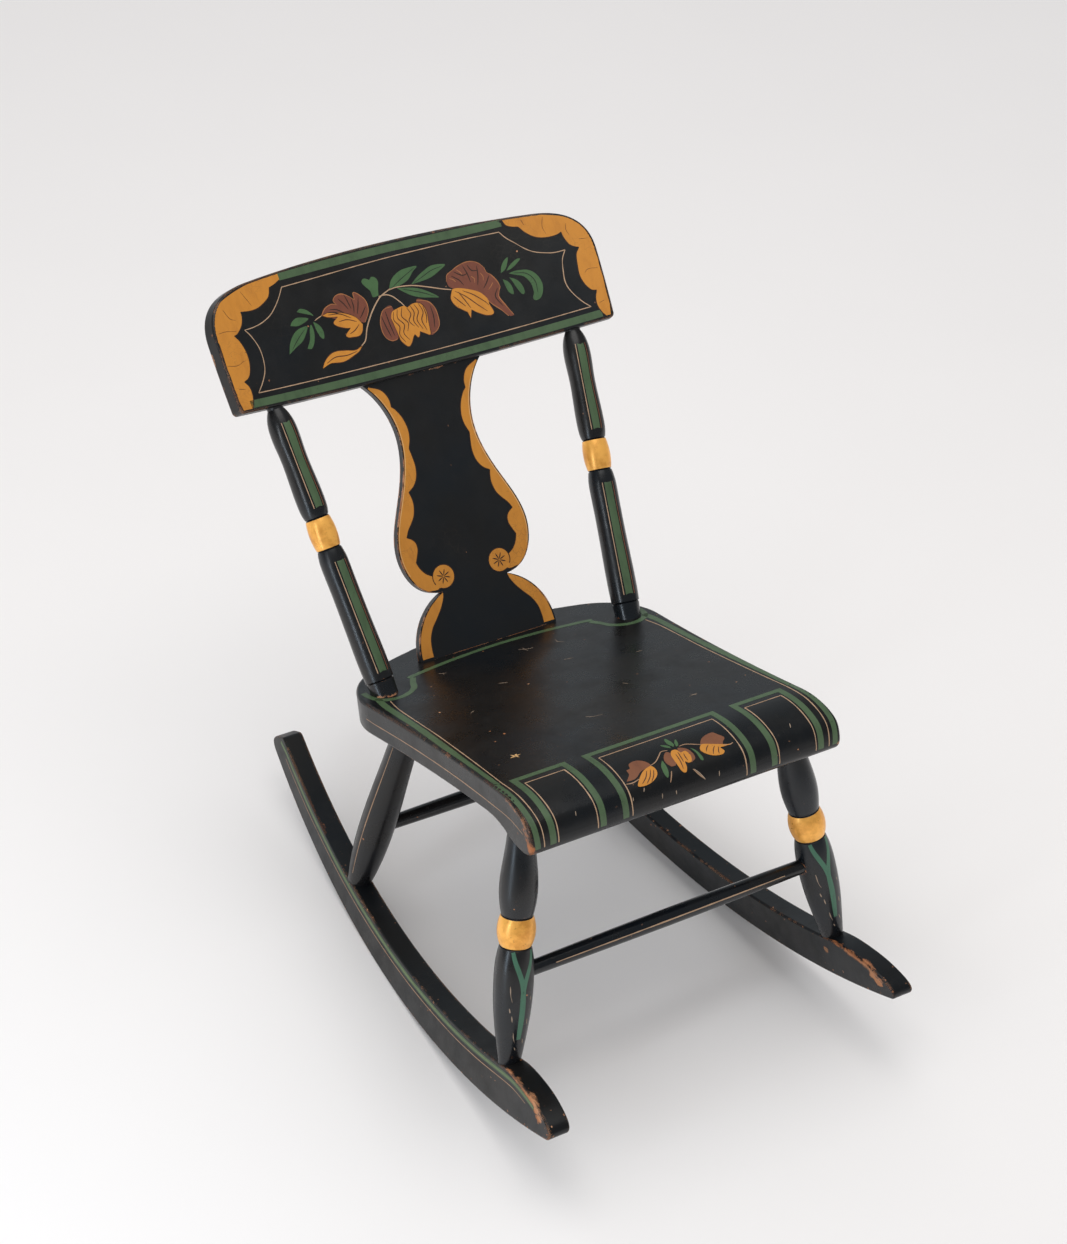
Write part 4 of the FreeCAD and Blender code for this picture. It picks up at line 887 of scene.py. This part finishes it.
def frame_bands(x0, x1, width):
    """Green frame on the roll: two uprights joined at the top in square corners."""
    in0, in1, top = x0 + width, x1 - width, 6 - width
    return [[(x0, BOTTOM), (x0, -40), (x0, 6)], [(x0, 6), (x1, 6)], [(x1, 6), (x1, -40), (x1, BOTTOM)],
            [(x1, BOTTOM), (in1, BOTTOM)], [(in1, BOTTOM), (in1, -40), (in1, top)], [(in1, top), (in0, top)],
            [(in0, top), (in0, -40), (in0, BOTTOM)], [(in0, BOTTOM), (x0, BOTTOM)]]


def on_front(x, y):
    """Roll and top by one measure: y runs back on the top and down the roll when negative."""
    return on_roll(x, -y)


on_roll_front = painter("roll", "seat_plank", on_front)


greens = [outline(*frame_bands(a, b, 8.0), step=3.5) for a, b in ((-187, -113), (-91, 91), (113, 187))]
for s in (-1, 1):
    greens.append(outline(
        [(s * 199.6, 6), (s * 200.5, -40), (s * 200.5, -80), (s * 199.5, BOTTOM)],
        [(s * 199.5, BOTTOM), (s * 206.5, BOTTOM)],
        [(s * 206.5, BOTTOM), (s * 207.4, -80), (s * 207.4, -40), (s * 207.4, 6)],
        [(s * 207.4, 6), (s * 199.6, 6)], step=3.5))
on_roll_front("green", greens, green, grid=4.0)
roll_lines = []
for a, b in ((-176, -124), (-78, 78), (124, 176)):
    roll_lines += [[(a, BOTTOM), (a, -50), (a, -12)], [(a, -12), ((a + b) / 2, -12), (b, -12)],
        [(b, -12), (b, -50), (b, BOTTOM)]]
roll_lines += [[(s * 196, 5), (s * 196, -50), (s * 194.5, BOTTOM)] for s in (-1, 1)]
on_roll_front("lines", lines(roll_lines, 1.3, 1.0, 3.0, 0.5), cream)

spray_brown = [[(-74, -66), (-66, -58), (-65, -51), (-60, -50), (-57, -43), (-48, -41), (-40, -45),
    (-35, -53), (-37, -57), (-50, -59), (-62, -66)], [(-8, -67), (-14, -66), (-17, -58), (-14, -50),
    (-7, -44), (-3, -50), (-3, -60)], [(12, -70), (19, -66), (20, -57), (17, -49), (9, -44), (7, -52),
    (9, -62)], [(36, -50), (42, -43), (50, -39), (60, -38), (64, -44), (68, -52), (63, -57), (58, -62),
    (48, -56)]]
spray_ochre = [[(-64, -76), (-58, -68), (-50, -61), (-41, -57), (-35, -57), (-33, -64), (-36, -71),
    (-44, -76), (-54, -78)], [(-6, -66), (-5, -52), (0, -45), (6, -46), (8, -52), (14, -52), (16, -60),
    (13, -68), (8, -69), (5, -66), (3, -74), (-1, -79), (-5, -76)], [(31, -59), (34, -53), (39, -51),
    (50, -56), (61, -61), (68, -64), (60, -64), (55, -64), (57, -70), (52, -73), (42, -71), (35, -66)]]
spray_green = [[(6, -40), (3, -32), (4, -24), (7, -20), (9, -28), (9, -36)], [(9, -41), (11, -34),
    (16, -28), (15, -35), (12, -40)], [(2, -41), (-3, -36), (-6, -30), (-2, -31), (2, -36)],
    [(-19, -54), (-25, -62), (-27, -72), (-25, -78), (-21, -72), (-19, -63)],
    [(22, -50), (26, -56), (28, -66), (27, -72), (24, -70), (24, -60)]]
spray_stems = [[(-36, -56), (-27, -53), (-18, -46), (-12, -41), (-4, -42)], [(12, -42), (20, -42),
    (28, -46), (37, -51)], [(-76, -69), (-68, -70), (-58, -68)], [(-17, -72), (-21, -79), (-24, -84)],
    [(9, -78), (14, -86), (21, -94)], [(60, -62), (68, -64), (73, -63)]]
on_roll_front("flowers", [leaf(p, 1.5) for p in spray_brown], brown_pale, lift=0.2, grid=4.0)
on_roll_front("petals", [closed(p, 1.5) for p in spray_ochre], ochre, lift=0.25, grid=4.0)
on_roll_front("leaves", [leaf(p, 1.5) for p in spray_green], green_pale, lift=0.2, grid=4.0)
on_roll_front("stems", lines(spray_stems, 1.3, 0.5, 1.5), cream_dark, lift=0.24)
spray_veins = [[(-58, -75), (-50, -69), (-44, -61)], [(-52, -76), (-45, -70), (-39, -61)],
    [(-46, -76), (-40, -70), (-36, -63)], [(-2, -74), (0, -64), (1, -52)], [(3, -66), (4, -58), (5, -50)],
    [(9, -66), (9, -60), (10, -55)], [(36, -63), (40, -58), (44, -55)], [(42, -69), (46, -63), (50, -59)],
    [(49, -71), (51, -66), (54, -62)]]
on_roll_front("veins", lines(spray_veins, 1.2, 0.35, 1.5), rust, lift=0.32)

side_low = [(-62, -34), (-30, -27), (20, -25), (100, -23), (200, -22), (290, -22), (318, -21)]
for side, label in SIDES:
    film(label + "_seat_side_line", "seat_plank", [band(side_low, 1.2, 0.7, 4.0, 0.5)],
        on_seat_side(side), cream_dark)
roll_scars = [[(-38, -99), (-37.5, -93)], [(-19, -100), (-19, -95)], [(-76, -90), (-75, -86)],
    [(10, -78), (16, -86), (21, -94)], [(40, -96), (41, -90)], [(-60, -84), (-58, -80)],
    [(150, -70), (152, -64)], [(-150, -84), (-149, -79)]]
on_roll_front("scratches", lines(roll_scars, 1.0, 0.4, 1.5, 0.6), scar, lift=0.3)


# Turned pieces
for side, label in SIDES:
    spot = Turned(*ends(POST, side), 18.0)
    lean = -side * 2.0
    stripes = [[(lean, 26), (lean, 100), (lean, 172)], [(lean, 241), (lean, 300), (lean, 352)]]
    film(label + "_post_green", label + "_back_post", lines(stripes, 10.5, 0.92, 4.0), spot, green, grid=2.4)
    # Pale pin lines at both edges of each post's green stripe. The one on the right, on the side turned from
    # the light, is the same pale line drawn in brown: painted shade.
    for tint, paint, shift in (("pale", cream, -7.4), ("brown", brown_pale, 7.4)):
        beside = [[(x + shift, y) for x, y in line] for line in stripes]
        film(f"{label}_post_{tint}_line", label + "_back_post", lines(beside, 1.1, 0.8, 4.0, 0.4), spot,
            paint, grid=2.4)

    spot = Turned(*ends(FRONT_LEG, side), 22.0)
    tail = [(0, 96), (0.5, 70), (-0.5, 34)]
    arms = mirror_pair([(-14.5, 145), (-11, 134), (-6, 121), (-2, 108), (0, 94)])
    figure = lines([tail], 7.4, 0.8, 3.0) + lines(arms, 5.6, 0.9, 3.0)
    film(label + "_leg_figure", label + "_front_leg", figure, spot, teal, grid=2.4)
    scars = [[(-15, 104), (-14, 92), (-12, 84)], [(-12, 66), (-11, 58)], [(-15, 76), (-14, 70)],
        [(-9, 44), (-8, 36), (-6, 30)], [(9, 60), (10, 52)], [(11, 88), (12, 83)], [(-6, 24), (-4, 20)],
        [(6, 34), (8, 27)]]
    film(label + "_leg_scratches", label + "_front_leg", lines(scars, 1.0, 0.3, 1.5, 0.8),
        spot, scar, grid=2.4)

    spot = Turned(*ends(REAR_LEG, side), 20.0)
    line = [(side * 26, 20), (side * 27, 120), (side * 26, 250)]
    film(label + "_rear_leg_line", label + "_rear_leg", [band(line, 1.1, 0.6, 4.0, 0.5)], spot, cream_dark)

stretcher = Turned((-196, -5.8, -236), (196, -5.8, -236), 10.0)
stretcher.side = Vector((0, 0, 1))
stretcher_line = band([(1.5, 34), (1.5, 196), (1.5, 358)], 1.5, 0.7, 5.0, 0.4)
film("front_stretcher_line", "front_stretcher", [stretcher_line], stretcher, cream)

for side, label in SIDES:
    where = on_rocker_side(side)
    places = [652, 630, 600, 540, 440, 340, 240, 140, 60, -25, -50, -75, -95, -110]
    edge_line = [Vector((y, rocker_top(y))) for y in places if rocker_top(y)]
    stripe, fine = [], []
    for before, at, after in zip(edge_line[:1] + edge_line, edge_line, edge_line[1:] + edge_line[-1:]):
        run = (after - before).normalized()
        inward = Vector((-run.y, run.x))
        stripe.append(at + inward * 8.0)
        fine.append(at + inward * 16.0)
    stripe, fine = stripe[:-1], fine[1:-2]
    film(label + "_rocker_green", label + "_rocker", [band(stripe, 6.4, 0.7, 5.0, 0.15)], where, green,
        grid=6.0)
    film(label + "_rocker_green_core", label + "_rocker", [band(stripe, 1.8, 0.5, 5.0, 0.5)], where,
        green_light, lift=0.24)
    film(label + "_rocker_line", label + "_rocker", [band(fine, 1.1, 0.7, 5.0, 0.5)], where, cream_dark)


# Gold rings: the faces of the posts and front legs between the two grooves of the barrel


def gild(name, foot, top, low, high):
    obj = nodes[name]
    obj.data.materials.append(gold)
    start = place(*foot)
    axis = (place(*top) - start).normalized()
    for polygon in obj.data.polygons:
        height = (polygon.center - start).dot(axis) * 1000
        if low < height < high:
            polygon.material_index = 1


for side, label in SIDES:
    gild(label + "_back_post", *ends(POST, side), 190.0, 228.0)
    gild(label + "_front_leg", *ends(FRONT_LEG, side), 148.0, 184.0)


# Floor, light and camera


def stage_plane(name, size, location, rotation=(0, 0, 0)):
    mesh = bpy.data.meshes.new(name)
    half = size / 2
    mesh.from_pydata([(-half, -half, 0), (half, -half, 0), (half, half, 0), (-half, half, 0)], [],
        [(0, 1, 2, 3)])
    made = bpy.data.objects.new(name, mesh)
    made.location = location
    made.rotation_euler = rotation
    bpy.context.scene.collection.objects.link(made)
    return made


def plain(name, color, roughness):
    s = Shader(name)
    cloud = s.noise(3.0, 3.0, 0.5)
    tint = tuple(0.96 * c for c in color[:3]) + (1,)
    return s.finish(s.mix(s.times(cloud, 0.5), color, tint), roughness)


floor = stage_plane("floor", 80.0, (0, 0, 0))
floor.data.materials.append(plain("floor_paint", (0.90, 0.875, 0.86, 1), 0.85))

world = bpy.data.worlds.new("room")
bpy.context.scene.world = world
world.use_nodes = True
sky = world.node_tree


def sky_light(color, strength):
    made = sky.nodes.new("ShaderNodeBackground")
    made.inputs["Color"].default_value = color
    made.inputs["Strength"].default_value = strength
    return made.outputs[0]


def sky_choice(ray, other, chosen):
    made = sky.nodes.new("ShaderNodeMixShader")
    sky.links.new(rays.outputs[ray], made.inputs[0])
    sky.links.new(other, made.inputs[1])
    sky.links.new(chosen, made.inputs[2])
    return made.outputs[0]


# Bright and even on floor and paint, dimmer in reflections, so the black stays black
rays = sky.nodes.new("ShaderNodeLightPath")
even = sky_light((0.98, 0.985, 1.0, 1), 0.80)
toward = sky.nodes.new("ShaderNodeSeparateXYZ")
sky.links.new(sky.nodes.new("ShaderNodeTexCoord").outputs["Generated"], toward.inputs[0])
backward = sky.nodes.new("ShaderNodeMapRange")
backward.inputs["From Min"].default_value = 0.3
backward.inputs["From Max"].default_value = 1.0
backward.inputs["To Min"].default_value = 0.22
backward.inputs["To Max"].default_value = 0.48
sky.links.new(toward.outputs[1], backward.inputs["Value"])
mirrored = sky_light((0.84, 0.93, 1.0, 1), 0.2)
sky.links.new(backward.outputs[0], mirrored.node.inputs["Strength"])
seen = sky_light((0.93, 0.93, 0.93, 1), 0.95)
room = sky_choice("Is Camera Ray", sky_choice("Is Glossy Ray", even, mirrored), seen)
sky.links.new(room, sky.nodes["World Output"].inputs["Surface"])


def lamp(name, spot, aim, size, power, color=(1, 1, 1)):
    data = bpy.data.lights.new(name, "AREA")
    data.shape = "RECTANGLE"
    data.size, data.size_y = size
    data.energy = power
    data.color = color
    made = bpy.data.objects.new(name, data)
    made.location = spot
    made.rotation_euler = (Vector(aim) - Vector(spot)).to_track_quat("-Z", "Y").to_euler()
    bpy.context.scene.collection.objects.link(made)


lamp("window", (-2.5, -0.75, 1.35), (0, 0, 0.5), (0.34, 1.2), 8, (0.86, 0.93, 1.0))
lamp("low_window", (-1.75, -0.55, 0.45), (0, 0, 0.3), (0.22, 0.85), 3.5, (0.66, 0.83, 1.0))
lamp("ceiling", (-0.2, 0.0, 3.2), (0, 0, 0.3), (2.4, 2.4), 31, (1.0, 0.99, 0.97))

# The camera is placed in the chair's frame, so it keeps its view of the chair at any tilt
spot = Vector((-1496.2, -2545.6, 1352.4))
right = Vector((0.858327566, -0.503593047, -0.0983251333))
down = Vector((-0.269649988, -0.279683236, -0.921447867))
ahead = Vector((0.436534848, 0.817417476, -0.375853691))
data = bpy.data.cameras.new("camera")
data.lens = 81.03
data.sensor_width = 36.0
data.clip_end = 100
camera = bpy.data.objects.new("camera", data)
turn = Matrix((way(*right), -way(*down), -way(*ahead))).transposed().to_4x4()
camera.matrix_world = Matrix.Translation(place(*spot)) @ turn
bpy.context.scene.collection.objects.link(camera)
bpy.context.scene.camera = camera
bpy.context.scene.view_settings.view_transform = "Standard"
